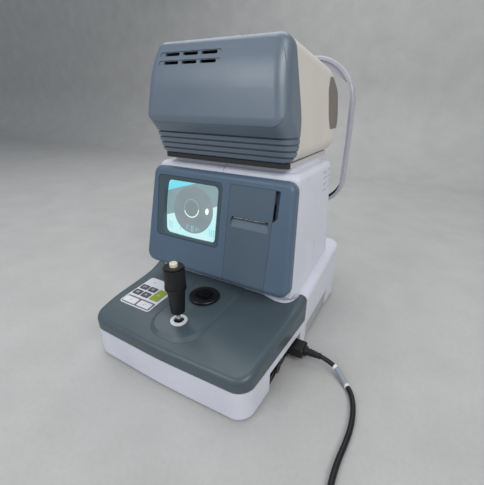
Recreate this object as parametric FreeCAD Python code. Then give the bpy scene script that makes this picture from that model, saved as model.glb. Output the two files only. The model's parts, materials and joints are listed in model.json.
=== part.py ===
import FreeCAD, Part
import math
import os

# Table-top auto ref-keratometer.  Millimetres, +Z up, +Y from the operator to the patient, +X to the
# operator's right.  The origin is on the table, under the middle of the footprint.

V = FreeCAD.Vector
X_AXIS = V(1, 0, 0)
Z_AXIS = V(0, 0, 1)

# ---- driving dimensions -----------------------------------------------------------------------------
WALL = 3.0                   # moulded covers
GAP = 0.3                    # clearance between parts that move past each other
FIT = 0.05                   # radial running fit of shafts and guide rods

# plan outline shared by the fixed base and the moving body
HALF_WIDTH = 147.0
FRONT_HALF = 135.0
TAPER_START = -48.0
FRONT_CORNER_Y = -228.0
FRONT_BOW = 4.0
REAR_Y = 142.0

# fixed base
FOOT_HEIGHT = 5.0
FOOT_SPOTS = ((-108, -195), (108, -195), (-120, 112), (120, 112))
SHELL_BOTTOM = 3.0
BASE_PLATE_Z = (5.0, 7.0)
BASE_TOP = 49.4
BODY_BOTTOM = 50.6
RECESS = (-168.0, -68.0, 37.0)             # front, rear and roof of the inlet recess
RECESS_X = 135.5                           # the connector panel lies just behind it
PLATE_POCKET = (-46.0, 77.0, 38.0)         # front, rear and roof of the rating-plate pocket

# height of the moving body's top surface from front to rear: (y, z)
DECK_PROFILE = ((-240, 65.5), (-220, 70.8), (-200, 75.2), (-183, 77.8), (-150, 79.6), (-121, 80.8),
                (-88, 84.5), (-56, 95.5), (-20, 101.5), (60, 111.0), (146, 121.0))
TOP_ROUND = 9.0

JOYSTICK_Y = -183.0
GIMBAL_R = 14.0
PIVOT_Z = 66.0
LOCK_Y = -121.0
PAD = (-42.0, 44.0, -215.5)                # raised pad on the deck: left, right, front
PAD_RISE = 4.0
PAD_SLOPE = 6.0
GRIP = (98.0, 137.0, 170.0)                # foot, shoulder and top of the joystick grip
COLLAR = (12.4, 7.5, 82.9)                 # outer radius, bore radius, top

# keypad film and its keys on the deck: x from, x to, y from, y to
KEYPAD = (-118.0, -56.0, -188.0, -114.0)
KEYS = {
    "key_print": (-114.5, -88.5, -184.5, -172.5),
    "key_menu": (-84.5, -60.5, -184.5, -172.5),
    "key_mode": (-115.0, -100.0, -164.0, -152.5),
    "key_up": (-97.0, -82.0, -164.0, -152.5),
    "key_target": (-115.0, -100.0, -148.0, -137.0),
    "key_down": (-97.0, -82.0, -148.0, -137.0),
    "key_start": (-78.0, -61.0, -164.0, -137.0),
}

# sloping front panel: lower edge at (PANEL_Y, PANEL_Z), leaning back by PANEL_LEAN
PANEL_Y = -108.9
PANEL_Z = 114.5
PANEL_LEAN = 11.2
PANEL_LENGTH = 162.8
PANEL_HALF_LOW = 133.6
PANEL_HALF_TOP = 121.4
PANEL_DEPTH = 17.0
SCREEN = (-110.0, 12.5, 50.5, 149.0)       # opening in the panel: x from, x to, up from, up to
WELL = (-98.0, 6.0, 56.0, 142.5)           # inner edge of the ring round the display, same order
WELL_RIM = 1.5                             # how far that edge lies under the panel's face
TUBE_FACE = (-98.4, 3.0, 54.6, 141.8)      # visible part of the picture tube, same order
TUBE_DEPTH = 4.5
TUBE_BULGE = 320.0
CRT = (-47.8, 98.2)
DOOR = (25.0, 95.5, 149.0)                 # x from, x to, height
NOTCH = (7.5, 8.0)                         # finger notch beside the door: width, depth
SLOT = (32.0, 90.0, 101.0)                 # paper slot: x from, x to, height on the panel
ROLL_CENTRE = (50.0, -40.0)                # paper roll: up the panel, depth
PLATEN_CENTRE = (100.0, -12.0)             # platen roller, same order

# tower of the moving body
TOWER_FOOT = -69.0                          # where the overhanging front meets the deck
TOWER_TOP = 279.0
TOWER_REAR = 100.0
NECK = (104.0, -50.0, 92.0)                # half width, front, rear
NECK_TOP = 286.0

# measuring head
HEAD_BOTTOM = 293.5
HEAD_BASE_BOTTOM = 286.6
HEAD_REAR = 153.0
HEAD_LOW_HALF = 118.0                      # half width at the bottom, and where the sides reach HEAD_CREST
HEAD_TOP_HALF = 98.5
HEAD_CREST = 450.0
HEAD_ROUND = 18.0
HEAD_SIDE = [(-66, HEAD_BOTTOM, 3), (-79, 323, 14), (-97, 342, 16), (-88.5, 400, 140), (-71, 440.5, 13),
             (108, 419, 60), (HEAD_REAR, 390, 30), (HEAD_REAR, 330, 46), (110, HEAD_BOTTOM, 40)]
HEAD_RIBS = (325.5, 317.5, 309.5, 301.5)   # heights of the grooves round the lower front
HEAD_VENTS = (421.8, 411.8)                # heights of the two rows of slots in the face
VENT_START = -75.5
VENT_PITCH = 29.7
VENT_LENGTH = 24.4
OPTIC_Z = 363.0

# slides
RAIL_X = 78.0
RAIL_WIDTH = 10.0
RAIL_TOP = 58.0
RAIL_Y = (-130.0, 114.0)
CARRIAGE_Z = (66.0, 69.0)                  # underside and top of the carriage frame
ROD_Z = 73.0
ROD_R = 4.0
ROD_Y = (-62.0, 78.0)
CHASSIS_Z = (84.0, 87.0)
LIFT_ROD = (60.0, 70.0, 6.0)               # x, y, radius
LIFT_SCREW_Y = 70.0

# patient's headrest
LOOP_FRONT = 200.0
LOOP_DEPTH = 26.0
LOOP_HALF = 121.5
LOOP_BOTTOM = 170.0
LOOP_TOP = 447.0
LOOP_THICK = 6.5
OVERALL_REAR = 231.6
COLUMN_Y = (202.0, 219.0)
COLUMN_HALF = 24.0                         # half width of the foot under the column
BRACKET_TOP = 46.0
CHIN_KNOB_Z = 118.0
CHIN_Z = 246.0
FOREHEAD_Z = 424.0

# power inlet in the right flank and its lead
INLET_Y = -86.0
INLET_Z = 20.0
PIN_SPOTS = ((-7, -2), (0, 2), (7, -2))    # inlet pins: offsets across and up
ROCKER_AXIS = (RECESS_X - 4.5, INLET_Y - 31, INLET_Z - 1.5)
CONNECTOR_NOSE = RECESS_X - 14.0
PLUG_END = 161.0
RELIEF_END = 186.0
CORD_R = 3.5
ROUTE = [(RELIEF_END, INLET_Y, INLET_Z), (200.8, INLET_Y, 16.7), (214.5, -90.5, 10.5), (225.8, -100.4, 4.1),
         (238.6, -114.1, 3.6), (244.6, -128.9, 3.6), (248.2, -145.5, 3.6), (249.6, -167.1, 3.6),
         (248.0, -190.5, 3.6), (244.8, -215.2, 3.6), (244.4, -242.0, 3.6), (247.0, -268.0, 3.6),
         (250.2, -294.0, 3.6), (251.2, -320.0, 3.6)]
TAIL = ((187.0, -389.0, 10.8), (172.0, -389.0, 12.3))
COIL_CENTRE = (202.0, -338.0)
COIL = (54.8, 24.2, 14.4)                  # outer radius, inner radius, height of the stored turns

NODES = {}


def node(name):
    """Register the shape returned by the function below it as one named part."""
    def keep(build):
        NODES[name] = build
        return build
    return keep


# ---- drawing helpers --------------------------------------------------------------------------------
def box(x0, x1, y0, y1, z0, z1):
    return Part.makeBox(x1 - x0, y1 - y0, z1 - z0, V(x0, y0, z0))


def rod(radius, start, end):
    start = V(*start)
    axis = V(*end) - start
    return Part.makeCylinder(radius, axis.Length, start, axis)


def tube(outer, inner, start, end):
    return rod(outer, start, end).cut(rod(inner, start, end))


def joined(shapes):
    whole = shapes[0]
    for shape in shapes[1:]:
        whole = whole.fuse(shape)
    return whole.removeSplitter()


def group(shapes):
    return Part.makeCompound(shapes)


def outline(corners, z=0.0):
    """Closed wire through corners (x, y, radius) at height z, every corner an arc tangent to its sides."""
    arcs = []
    count = len(corners)
    for i, (x, y, radius) in enumerate(corners):
        here = V(x, y, z)
        back = V(corners[i - 1][0], corners[i - 1][1], z).sub(here).normalize()
        ahead = V(corners[(i + 1) % count][0], corners[(i + 1) % count][1], z).sub(here).normalize()
        half = back.getAngle(ahead) / 2
        reach = radius / math.tan(half)
        middle = (back + ahead).normalize() * (radius / math.sin(half) - radius)
        arcs.append((here + back * reach, here + middle, here + ahead * reach))
    edges = []
    for i, (start, middle, end) in enumerate(arcs):
        if arcs[i - 1][2].distanceToPoint(start) > 1e-4:
            edges.append(Part.LineSegment(arcs[i - 1][2], start).toShape())
        if start.distanceToPoint(end) > 1e-4:
            edges.append(Part.Arc(start, middle, end).toShape())
    return Part.Wire(edges)


def prism(corners, z0, z1):
    return Part.Face(outline(corners, z0)).extrude(V(0, 0, z1 - z0))


def rounded_box(x0, x1, y0, y1, z0, z1, radius):
    corners = [(x0, y0, radius), (x1, y0, radius), (x1, y1, radius), (x0, y1, radius)]
    return prism(corners, z0, z1)


def across(corners, x0, x1):
    """Side-view outline of (y, z, radius) corners, extruded from x0 to x1."""
    shape = prism(corners, x0, x1)
    shape.rotate(V(0, 0, 0), V(1, 1, 1), 120)
    return shape


def along(corners, y0, y1):
    """Front-view outline of (x, z, radius) corners, extruded from y0 to y1."""
    shape = prism(corners, -y1, -y0)
    shape.rotate(V(0, 0, 0), X_AXIS, 90)
    return shape


def mirrored(corners):
    """Close a symmetric outline from its right-hand corners, listed from the bottom up."""
    return corners + [(-x, y, radius) for x, y, radius in reversed(corners)]


def on_panel(shape):
    """Move a shape drawn flat (x, up the panel, out of the panel) onto the sloping front panel."""
    shape.rotate(V(0, 0, 0), X_AXIS, 90 - PANEL_LEAN)
    shape.translate(V(0, PANEL_Y, PANEL_Z))
    return shape


def edges_where(shape, test):
    return [edge for edge in shape.Edges if test(edge)]


# ---- shared forms -----------------------------------------------------------------------------------
def footprint(inset=0.0):
    """Plan outline of base and body: straight sides that narrow to a slightly bowed front."""
    half = HALF_WIDTH - inset
    front = FRONT_HALF - inset
    corner_y = FRONT_CORNER_Y + inset
    return mirrored([(0.01, corner_y - FRONT_BOW, 900.0), (front, corner_y, 24 - inset),
                     (half, TAPER_START, 200.0), (half, REAR_Y - inset, 22 - inset)])[1:]


def body_profile(offset=0.0, x0=-160.0, x1=160.0):
    """Everything under the moving body's top surface, raised by offset."""
    points = [V(y, z + offset, x0) for y, z in DECK_PROFILE]
    curve = Part.BSplineCurve()
    curve.interpolate(points)
    first = points[0]
    last = points[-1]
    low_last = V(last.x, 40, x0)
    low_first = V(first.x, 40, x0)
    edges = [curve.toShape(), Part.LineSegment(last, low_last).toShape(),
             Part.LineSegment(low_last, low_first).toShape(), Part.LineSegment(low_first, first).toShape()]
    solid = Part.Face(Part.Wire(edges)).extrude(V(0, 0, x1 - x0))
    solid.rotate(V(0, 0, 0), V(1, 1, 1), 120)
    return solid


def skirt(inset=0.0):
    """Lower block of the moving body, its top edge rounded all round."""
    bottom = BODY_BOTTOM if inset == 0 else BODY_BOTTOM - 5
    block = prism(footprint(inset), bottom, 140).common(body_profile(-inset))
    top = edges_where(block, lambda edge: edge.BoundBox.ZMin > BODY_BOTTOM + 8)
    return block.makeFillet(TOP_ROUND - inset, top)


def deck_region(gap=0.0):
    """Plan area of the dark deck: it ends in a straight line under the panel and sweeps back at the sides."""
    rear = -78.5 + gap
    middle = -69.0 + gap
    side = -54.0 + gap
    return prism([(-170, -260, 0), (170, -260, 0), (170, side, 0), (134, side, 2), (134, rear, 24),
                  (102, rear, 20), (56, middle, 90), (-56, middle, 90), (-102, rear, 20), (-134, rear, 24),
                  (-134, side, 2), (-170, side, 0)], BODY_BOTTOM - 6, 160)


def foot_corner(side, inset):
    """What the rounded lower front corner of the tower leaves out, sloping with its front."""
    radius = 24.0 - inset
    lean = (TOWER_FOOT + 92.3) / 26
    z = 83.8 - inset
    x = PANEL_HALF_LOW + 0.9 - inset
    y = -92.3 + inset + (110 - z) * lean
    turn = radius * (1 - math.cos(math.pi / 4))
    start = V(side * x, y + radius, z)
    end = V(side * (x - radius), y, z)
    corners = [end, V(end.x, y - 4, z), V(side * (x + 6), y - 4, z), V(side * (x + 6), start.y, z), start]
    edges = [Part.Arc(start, V(side * (x - turn), y + turn, z), end).toShape()]
    edges += [Part.LineSegment(corners[i], corners[i + 1]).toShape() for i in range(4)]
    rise = 110 - z
    return Part.Face(Part.Wire(edges)).extrude(V(0, -rise * lean, rise))


def tower(inset=0.0):
    """Upright block behind the front panel, narrower at the top, its rear and top edges rounded."""
    low = PANEL_HALF_LOW + 0.9 - inset
    high = PANEL_HALF_TOP - 0.6 - inset
    top = TOWER_TOP - inset
    bottom = 84 - inset
    rear = TOWER_REAR - inset
    front = along([(-low, bottom, 0), (low, bottom, 0), (high, top, 0), (-high, top, 0)], -140, 120)
    foot = -92.3 + inset + (110 - bottom) * (TOWER_FOOT + 92.3) / 26
    side = across([(foot, bottom, 0), (rear, bottom, 0), (rear, top, 0),
                   (-58.7 + inset, top, 0), (-92.3 + inset, 110, 0)], -140, 140)
    block = front.common(side).cut([foot_corner(1, inset), foot_corner(-1, inset)])
    upright = edges_where(block, lambda edge: edge.BoundBox.YMin > rear - 0.5 and edge.BoundBox.ZLength > 100)
    block = block.makeFillet(14 - inset, upright)
    lid = edges_where(block, lambda edge: edge.BoundBox.ZMin > top - 0.5)
    return block.makeFillet(10 - inset, lid)


def head_block(inset=0.0, front_grow=0.0):
    """Outside of the measuring head, or the same form shrunk by inset, its long edges rounded."""
    corners = []
    for i, (y, z, radius) in enumerate(HEAD_SIDE):
        y_in = inset - front_grow if y < 0 else -inset
        z_in = inset if z < 340 else -inset
        hollow = i == 1
        corners.append((y + y_in, z + z_in, radius + inset if hollow else max(radius - inset, 3.0)))
    side = across(corners, -130, 130)
    low = HEAD_LOW_HALF - inset
    high = HEAD_TOP_HALF - inset
    front = along(mirrored([(low, HEAD_BOTTOM, 0), (high, HEAD_CREST, 0)]), -130, 180)
    block = side.common(front)
    rounded_edges = edges_where(block, lambda edge: edge.BoundBox.XLength < 60 and edge.BoundBox.ZMax > 300
                                and not (edge.BoundBox.YLength > 150 and edge.BoundBox.ZLength < 3))
    return block.makeFillet(HEAD_ROUND - inset, rounded_edges)


def head_split(gap=0.0):
    """Region of the dark front cover: its rear edge bows back a little at mid height."""
    return across([(-130, 280, 0), (-63 + gap, 280, 0), (-61 + gap, 310, 60), (-46 + gap, 345, 60),
                   (-52 + gap, 395, 90), (-60 + gap, 460, 0), (-130, 460, 0)], -130, 130)


# ---- fixed base -------------------------------------------------------------------------------------
@node("base_shell")
def base_shell():
    front, rear, roof = RECESS
    shell = prism(footprint(), SHELL_BOTTOM, BASE_TOP)
    rim = edges_where(shell, lambda edge: edge.BoundBox.ZMax < SHELL_BOTTOM + 0.1)
    shell = shell.makeFillet(2.0, rim)
    shell = shell.cut(prism(footprint(WALL), 0, BASE_TOP - WALL))
    lining = box(RECESS_X - 5, HALF_WIDTH - 8, front - WALL, rear + WALL, SHELL_BOTTOM, roof + WALL)
    pocket_front, pocket_rear, pocket_roof = PLATE_POCKET
    backing = box(HALF_WIDTH - 8, HALF_WIDTH - 1, pocket_front - WALL, pocket_rear + WALL, SHELL_BOTTOM,
                  pocket_roof + WALL)
    side = box(HALF_WIDTH - 9, HALF_WIDTH - 1.5, front - WALL, rear + WALL, SHELL_BOTTOM, roof + WALL)
    shell = shell.fuse([backing, joined([lining, side]).common(prism(footprint(1.0), 0, BASE_TOP))])
    shell = shell.cut(box(RECESS_X - 6, HALF_WIDTH + 5, front, rear, -1, roof))
    shell = shell.cut(box(HALF_WIDTH - 2.5, HALF_WIDTH + 5, pocket_front, pocket_rear, -1, pocket_roof))
    shell = shell.cut(box(-COLUMN_HALF - 6, COLUMN_HALF + 6, REAR_Y - 10, REAR_Y + 1, 0, BRACKET_TOP - 10))
    return shell.removeSplitter()


@node("base_plate")
def base_plate():
    plate = prism(footprint(WALL + GAP), *BASE_PLATE_Z)
    edge = WALL + GAP
    plate = plate.cut(box(RECESS_X - 5 - GAP, HALF_WIDTH, RECESS[0] - edge, RECESS[1] + edge, 0, 10))
    plate = plate.cut(box(HALF_WIDTH - 8 - GAP, HALF_WIDTH, PLATE_POCKET[0] - edge, PLATE_POCKET[1] + edge,
                          0, 10))
    screws = []
    for x, y in ((-60, -205), (60, -205), (-60, 120), (60, 120)):
        head = rod(4.0, (x, y, BASE_PLATE_Z[0] - 2.4), (x, y, BASE_PLATE_Z[0]))
        screws.append(head.cut(rod(1.6, (x, y, 0), (x, y, BASE_PLATE_Z[0] - 1))))
    return joined([plate] + screws)


@node("rubber_feet")
def rubber_feet():
    feet = []
    for x, y in FOOT_SPOTS:
        foot = Part.makeCone(11.0, 12.5, FOOT_HEIGHT, V(x, y, 0))
        feet.append(foot)
    return group(feet)


@node("inlet_panel")
def inlet_panel():
    """Connector panel with the rocker's frame, the fuse holder and a data socket."""
    front, rear, roof = RECESS
    face = RECESS_X - 1
    panel = box(face - 3, face, front + GAP, rear - GAP, SHELL_BOTTOM, roof - GAP)
    inlet_hole = box(face - 9, face + 1, INLET_Y - 14, INLET_Y + 14, INLET_Z - 10.2, INLET_Z + 10.2)
    y, z = ROCKER_AXIS[1:]
    frame = box(face - 15, face, y - 9.7, y + 9.7, z - 9.4, z + 9.4)
    frame = frame.fuse(box(face, face + 1.6, y - 11, y + 11, z - 11, z + 11))
    well = box(face - 13, face + 3, y - 8, y + 8, z - 8.4, z + 8.4)
    centre = (INLET_Y - 51, INLET_Z)
    fuse = rod(7.0, (face - 29, *centre), (face, *centre))
    fuse = fuse.fuse(rod(8.4, (face, *centre), (face + 5, *centre)))
    fuse_slot = box(face + 3.8, face + 6, centre[0] - 4, centre[0] + 4, centre[1] - 0.8, centre[1] + 0.8)
    y = INLET_Y - 70
    port = box(face - 11, face + 4, y - 8.6, y + 8.6, INLET_Z - 5.8, INLET_Z + 5.8)
    port_mouth = box(face - 2, face + 5, y - 7.6, y + 7.6, INLET_Z - 4.8, INLET_Z + 4.8)
    port_core = box(face - 3, face + 3, y - 6.6, y + 6.6, INLET_Z - 3.4, INLET_Z + 3.4)
    block = joined([panel.cut(inlet_hole), frame, fuse, port])
    return block.cut([well, fuse_slot, port_mouth]).fuse(port_core)


@node("power_inlet")
def power_inlet():
    flange = rounded_box(INLET_Y - 16, INLET_Y + 16, INLET_Z - 12.5, INLET_Z + 12.5, 0, 2.0, 3)
    flange.rotate(V(0, 0, 0), V(1, 1, 1), 120)
    flange.translate(V(RECESS_X - 1, 0, 0))
    body = box(RECESS_X - 22, RECESS_X - 1, INLET_Y - 13.7, INLET_Y + 13.7, INLET_Z - 10, INLET_Z + 10)
    mouth = box(RECESS_X - 16, RECESS_X + 3, INLET_Y - 12.3, INLET_Y + 12.3, INLET_Z - 8.3, INLET_Z + 8.3)
    pins = []
    for across_offset, up_offset in PIN_SPOTS:
        y = INLET_Y + across_offset
        z = INLET_Z + up_offset
        pins.append(box(RECESS_X - 17, RECESS_X - 3, y - 1, y + 1, z - 2, z + 2))
    return joined([flange.fuse(body).cut(mouth)] + pins)


@node("power_rocker")
def power_rocker():
    x, y, z = ROCKER_AXIS
    face = along([(x - 6, z - 3, 0), (x + 1, z - 6.6, 1), (x + 5.6, z - 6.4, 0.8), (x + 4.2, z, 6),
                  (x + 4.4, z + 6.2, 0.8), (x + 1, z + 6.6, 1), (x - 6, z + 3, 0)], y - 7.2, y + 7.2)
    return face


@node("rating_plate")
def rating_plate():
    front, rear, roof = PLATE_POCKET
    plate = box(HALF_WIDTH - 2.5, HALF_WIDTH - 1.3, front + 2, rear - 2, SHELL_BOTTOM + 3, roof - 2)
    return plate


@node("power_supply")
def power_supply():
    tray = box(-100, -10, -160, -40, 7, 9)
    can = box(-98, -12, -158, -42, 9, 34)
    vents = [box(-90 + 9 * i, -86 + 9 * i, -170, -30, 18, 30) for i in range(8)]
    inside = box(-96, -14, -156, -44, 9, 32)
    transformer = box(-80, -34, -130, -90, 9, 30)
    return tray.fuse(can.cut([inside] + vents)).fuse(transformer)


@node("y_rails")
def y_rails():
    rails = []
    for side in (-1, 1):
        x = side * RAIL_X
        front, rear = RAIL_Y
        rail = box(x - RAIL_WIDTH / 2, x + RAIL_WIDTH / 2, front, rear, BASE_TOP, RAIL_TOP)
        groove = box(x - 8, x + 8, front - 1, rear + 1, 52.5, 54.5)
        groove = groove.cut(box(x - 3.6, x + 3.6, front - 1, rear + 1, 52, 55))
        rails.append(rail.cut(groove))
    return group(rails)


@node("friction_plate")
def friction_plate():
    return rounded_box(-56, 56, -204, -162, BASE_TOP, BASE_TOP + 2, 5)


# ---- headrest at the patient's side -----------------------------------------------------------------
@node("headrest_column")
def headrest_column():
    """Foot that reaches back from the base, with the hollow column that guides the chin post."""
    tongue = BRACKET_TOP - 11
    foot = across([(REAR_Y - 8, 8, 0), (226, 8, 10), (226, 34, 12), (214, BRACKET_TOP, 4),
                   (REAR_Y, BRACKET_TOP, 0), (REAR_Y, tongue, 0), (REAR_Y - 8, tongue, 0)],
                  -COLUMN_HALF, COLUMN_HALF)
    sole = rounded_box(-COLUMN_HALF, COLUMN_HALF, 188, 226, 0, 8, 8)
    front, rear = COLUMN_Y
    middle = (front + rear) / 2
    column = rounded_box(-18, 18, front, rear, BRACKET_TOP - 1, LOOP_BOTTOM, 7)
    bore = rod(7.0 + FIT, (0, middle, BRACKET_TOP + 6), (0, middle, LOOP_BOTTOM))
    knob_hole = rod(5.0 + FIT, (0, rear - 6, CHIN_KNOB_Z), (0, rear + 5, CHIN_KNOB_Z))
    return joined([foot, sole, column]).cut([bore, knob_hole])


def loop_band(outer_grow=0.0):
    """Front view of the headrest loop, an upright rounded ring."""
    half = LOOP_HALF + outer_grow
    low_half = half + 2
    ring = [(low_half, LOOP_BOTTOM - outer_grow, 50 + outer_grow), (low_half, 300, 300),
            (half - 2.5, LOOP_TOP + outer_grow, 80 + outer_grow)]
    corners = [(-x, z, r) for x, z, r in ring] + [(x, z, r) for x, z, r in reversed(ring)]
    return along(corners, LOOP_FRONT, LOOP_FRONT + LOOP_DEPTH)


@node("headrest_loop")
def headrest_loop():
    outer = loop_band()
    rims = edges_where(outer, lambda edge: edge.BoundBox.YLength < 0.1)
    outer = outer.makeFillet(2.4, rims)
    band = outer.cut(loop_band(-LOOP_THICK))
    front, rear = COLUMN_Y
    middle = (front + rear) / 2
    shaft = rod(7.0 + FIT, (0, middle, LOOP_BOTTOM - 5), (0, middle, LOOP_BOTTOM + 20))
    low = LOOP_TOP - LOOP_THICK
    plate = box(-40, 40, LOOP_FRONT + 8, LOOP_FRONT + 16, FOREHEAD_Z - 14, low + 1)
    corners = edges_where(plate, lambda e: e.BoundBox.YLength > 7 and e.BoundBox.ZMax < low - 10)
    web = along([(-104, 402, 0), (-80, 419, 30), (80, 419, 30), (104, 402, 0), (104, 460, 0), (-104, 460, 0)],
                LOOP_FRONT + 4, LOOP_FRONT + 16).common(loop_band(-1.0))
    return joined([band.cut(shaft), plate.makeFillet(3, corners), web])


@node("forehead_pad")
def forehead_pad():
    pad = rounded_box(-46, 46, -12, 12, 0, 10, 11)
    pad.rotate(V(0, 0, 0), X_AXIS, 90)
    pad.translate(V(0, LOOP_FRONT + 26.0, FOREHEAD_Z - 3))
    return pad.makeFillet(4, edges_where(pad, lambda e: e.BoundBox.YMin > LOOP_FRONT + 25.9))


@node("chin_rest")
def chin_rest():
    """Cup with its two paper pins on the post that slides in the column."""
    middle = sum(COLUMN_Y) / 2
    post = rod(7.0, (0, middle, 85), (0, middle, CHIN_Z - 8))
    block = along([(-44, CHIN_Z + 8, 4), (-39, CHIN_Z - 9, 9), (39, CHIN_Z - 9, 9), (44, CHIN_Z + 8, 4)],
                  middle - 17, OVERALL_REAR)
    hollow = rod(90, (0, middle - 20, CHIN_Z + 87), (0, OVERALL_REAR + 5, CHIN_Z + 87))
    rims = edges_where(block, lambda e: e.BoundBox.YLength < 0.1 and e.BoundBox.ZMax < CHIN_Z + 7)
    cup = block.makeFillet(2.0, rims).cut(hollow)
    pins = [rod(1.6, (x, middle - 10, CHIN_Z + 3), (x, middle - 10, CHIN_Z + 17)) for x in (-40, 40)]
    return joined([cup, post] + pins)


@node("chin_knob")
def chin_knob():
    rear = COLUMN_Y[1]
    shaft = rod(5.0, (0, rear - 1, CHIN_KNOB_Z), (0, rear + GAP, CHIN_KNOB_Z))
    dial = rod(15.0, (0, rear + GAP, CHIN_KNOB_Z), (0, OVERALL_REAR - 0.5, CHIN_KNOB_Z))
    flutes = []
    for i in range(12):
        angle = math.radians(30 * i)
        x = 16.4 * math.cos(angle)
        z = CHIN_KNOB_Z + 16.4 * math.sin(angle)
        flutes.append(rod(2.6, (x, rear - 1, z), (x, OVERALL_REAR + 1, z)))
    return shaft.fuse(dial.cut(flutes))


# ---- carriage: slides fore and aft on the base, carries the cross rods ------------------------------
@node("carriage_frame")
def carriage_frame():
    """Frame on four rail blocks, with the two cross rods in its holders."""
    low, high = CARRIAGE_Z
    members = []
    for side in (-1, 1):
        x = side * RAIL_X
        for y in ROD_Y:
            block = box(x - 11, x + 11, y - 18, y + 18, BASE_TOP + 1.8, low)
            channel = box(x - RAIL_WIDTH / 2 - GAP, x + RAIL_WIDTH / 2 + GAP, y - 20, y + 20, BASE_TOP,
                          RAIL_TOP + GAP)
            members.append(block.cut(channel))
        beam_x = x + side * 3
        members.append(box(beam_x - 8, beam_x + 8, ROD_Y[0] - 18, ROD_Y[1] + 18, low, high))
        for y in ROD_Y:
            holder = box(x - 5, x + 11, y - 7, y + 7, low, ROD_Z + 7)
            if side < 0:
                holder = box(x - 11, x + 5, y - 7, y + 7, low, ROD_Z + 7)
            members.append(holder)
    members.append(box(-RAIL_X, RAIL_X, -4, 8, low, high))
    rods = [rod(ROD_R, (-RAIL_X - 11, y, ROD_Z), (RAIL_X + 11, y, ROD_Z)) for y in ROD_Y]
    return joined(members + rods)


# ---- moving body ------------------------------------------------------------------------------------
@node("body_chassis")
def body_chassis():
    """Plate on its four cross slides, with the joystick's hub in front and the head's guide rods on top."""
    plate = rounded_box(-112, 112, -64, 92, *CHASSIS_Z, 6)
    slides = []
    for y in ROD_Y:
        for side in (-1, 1):
            block = box(side * 19 - 10, side * 19 + 10, y - 7.5, y + 7.5, ROD_Z - 6.6, CHASSIS_Z[0])
            slides.append(block.cut(rod(ROD_R + FIT, (-60, y, ROD_Z), (60, y, ROD_Z))))
    hub = rounded_box(-25, 25, JOYSTICK_Y - 19, JOYSTICK_Y + 24, 58, 71, 6)
    arm = box(-16, 16, JOYSTICK_Y + 14, -69, 70, 74)
    riser = box(-16, 16, -73, -69, 74, CHASSIS_Z[0])
    x, y, radius = LIFT_ROD
    guides = [rod(radius, (side * x, y, CHASSIS_Z[1]), (side * x, y, 283)) for side in (-1, 1)]
    gimbal_bore = rod(GIMBAL_R + 2.0, (0, JOYSTICK_Y, 50), (0, JOYSTICK_Y, 80))
    pin_bore = rod(2.5 + FIT, (-23, JOYSTICK_Y, PIVOT_Z), (23, JOYSTICK_Y, PIVOT_Z))
    knob_bore = rod(4.0 + GAP, (0, LOCK_Y, 60), (0, LOCK_Y, 90))
    return joined([plate, hub, arm, riser] + slides + guides).cut([gimbal_bore, pin_bore, knob_bore])


@node("gimbal_ring")
def gimbal_ring():
    ring = tube(GIMBAL_R, GIMBAL_R - 4, (0, JOYSTICK_Y, PIVOT_Z - 4), (0, JOYSTICK_Y, PIVOT_Z + 4))
    trunnions = [rod(2.5, (side * (GIMBAL_R - 1), JOYSTICK_Y, PIVOT_Z), (side * 22, JOYSTICK_Y, PIVOT_Z))
                 for side in (-1, 1)]
    cross_bore = rod(2.0 + FIT, (0, JOYSTICK_Y - 20, PIVOT_Z), (0, JOYSTICK_Y + 20, PIVOT_Z))
    return joined([ring] + trunnions).cut(cross_bore)


@node("joystick_shaft")
def joystick_shaft():
    shaft = rod(3.0, (0, JOYSTICK_Y, 56), (0, JOYSTICK_Y, GRIP[0]))
    cross = rod(2.0, (0, JOYSTICK_Y - GIMBAL_R + 0.8, PIVOT_Z), (0, JOYSTICK_Y + GIMBAL_R - 0.8, PIVOT_Z))
    ball = Part.makeSphere(4.6, V(0, JOYSTICK_Y, BASE_TOP + 2 + 4.6 + 0.6))
    collar = rod(5.6, (0, JOYSTICK_Y, PIVOT_Z + 5), (0, JOYSTICK_Y, PIVOT_Z + 7.5))
    return joined([shaft, cross, ball, collar])


@node("joystick_grip")
def joystick_grip():
    foot, shoulder, top = GRIP
    lower = Part.makeCone(10.0, 12.5, shoulder - foot - 1.0, V(0, JOYSTICK_Y, foot))
    stem = rod(9.0, (0, JOYSTICK_Y, shoulder - 1.0), (0, JOYSTICK_Y, top - 2))
    crown = rod(12.8, (0, JOYSTICK_Y, top - 2), (0, JOYSTICK_Y, top))
    grip = joined([lower, stem, crown])
    well = rod(5.8, (0, JOYSTICK_Y, top - 10), (0, JOYSTICK_Y, top + 1))
    return grip.cut(well)


@node("height_ring")
def height_ring():
    shoulder, top = GRIP[1:]
    ring = tube(14.2, 9.0 + FIT, (0, JOYSTICK_Y, shoulder - 0.7), (0, JOYSTICK_Y, top - 2.3))
    rim = tube(14.9, 12.0, (0, JOYSTICK_Y, shoulder - 0.7), (0, JOYSTICK_Y, shoulder + 2.3))
    grooves = []
    count = 28
    for i in range(count):
        angle = 2 * math.pi * i / count
        x = 14.9 * math.cos(angle)
        y = JOYSTICK_Y + 14.9 * math.sin(angle)
        grooves.append(rod(1.1, (x, y, shoulder + 4), (x, y, top)))
    return ring.fuse(rim).cut(grooves)


@node("measure_button")
def measure_button():
    top = GRIP[2]
    button = rod(5.5, (0, JOYSTICK_Y, top - 6.5), (0, JOYSTICK_Y, top + 5))
    return button.makeFillet(1.2, edges_where(button, lambda e: e.BoundBox.ZMin > top + 4.9))


def keypad_zone(grow=0.0, z0=60.0, z1=100.0):
    x0, x1, y0, y1 = KEYPAD
    return rounded_box(x0 - grow, x1 + grow, y0 - grow, y1 + grow, z0, z1, 5 + grow)


def key_block(name, grow=0.0):
    x0, x1, y0, y1 = KEYS[name]
    return rounded_box(x0 - grow, x1 + grow, y0 - grow, y1 + grow, 60, 100, 1.6 + grow)


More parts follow.
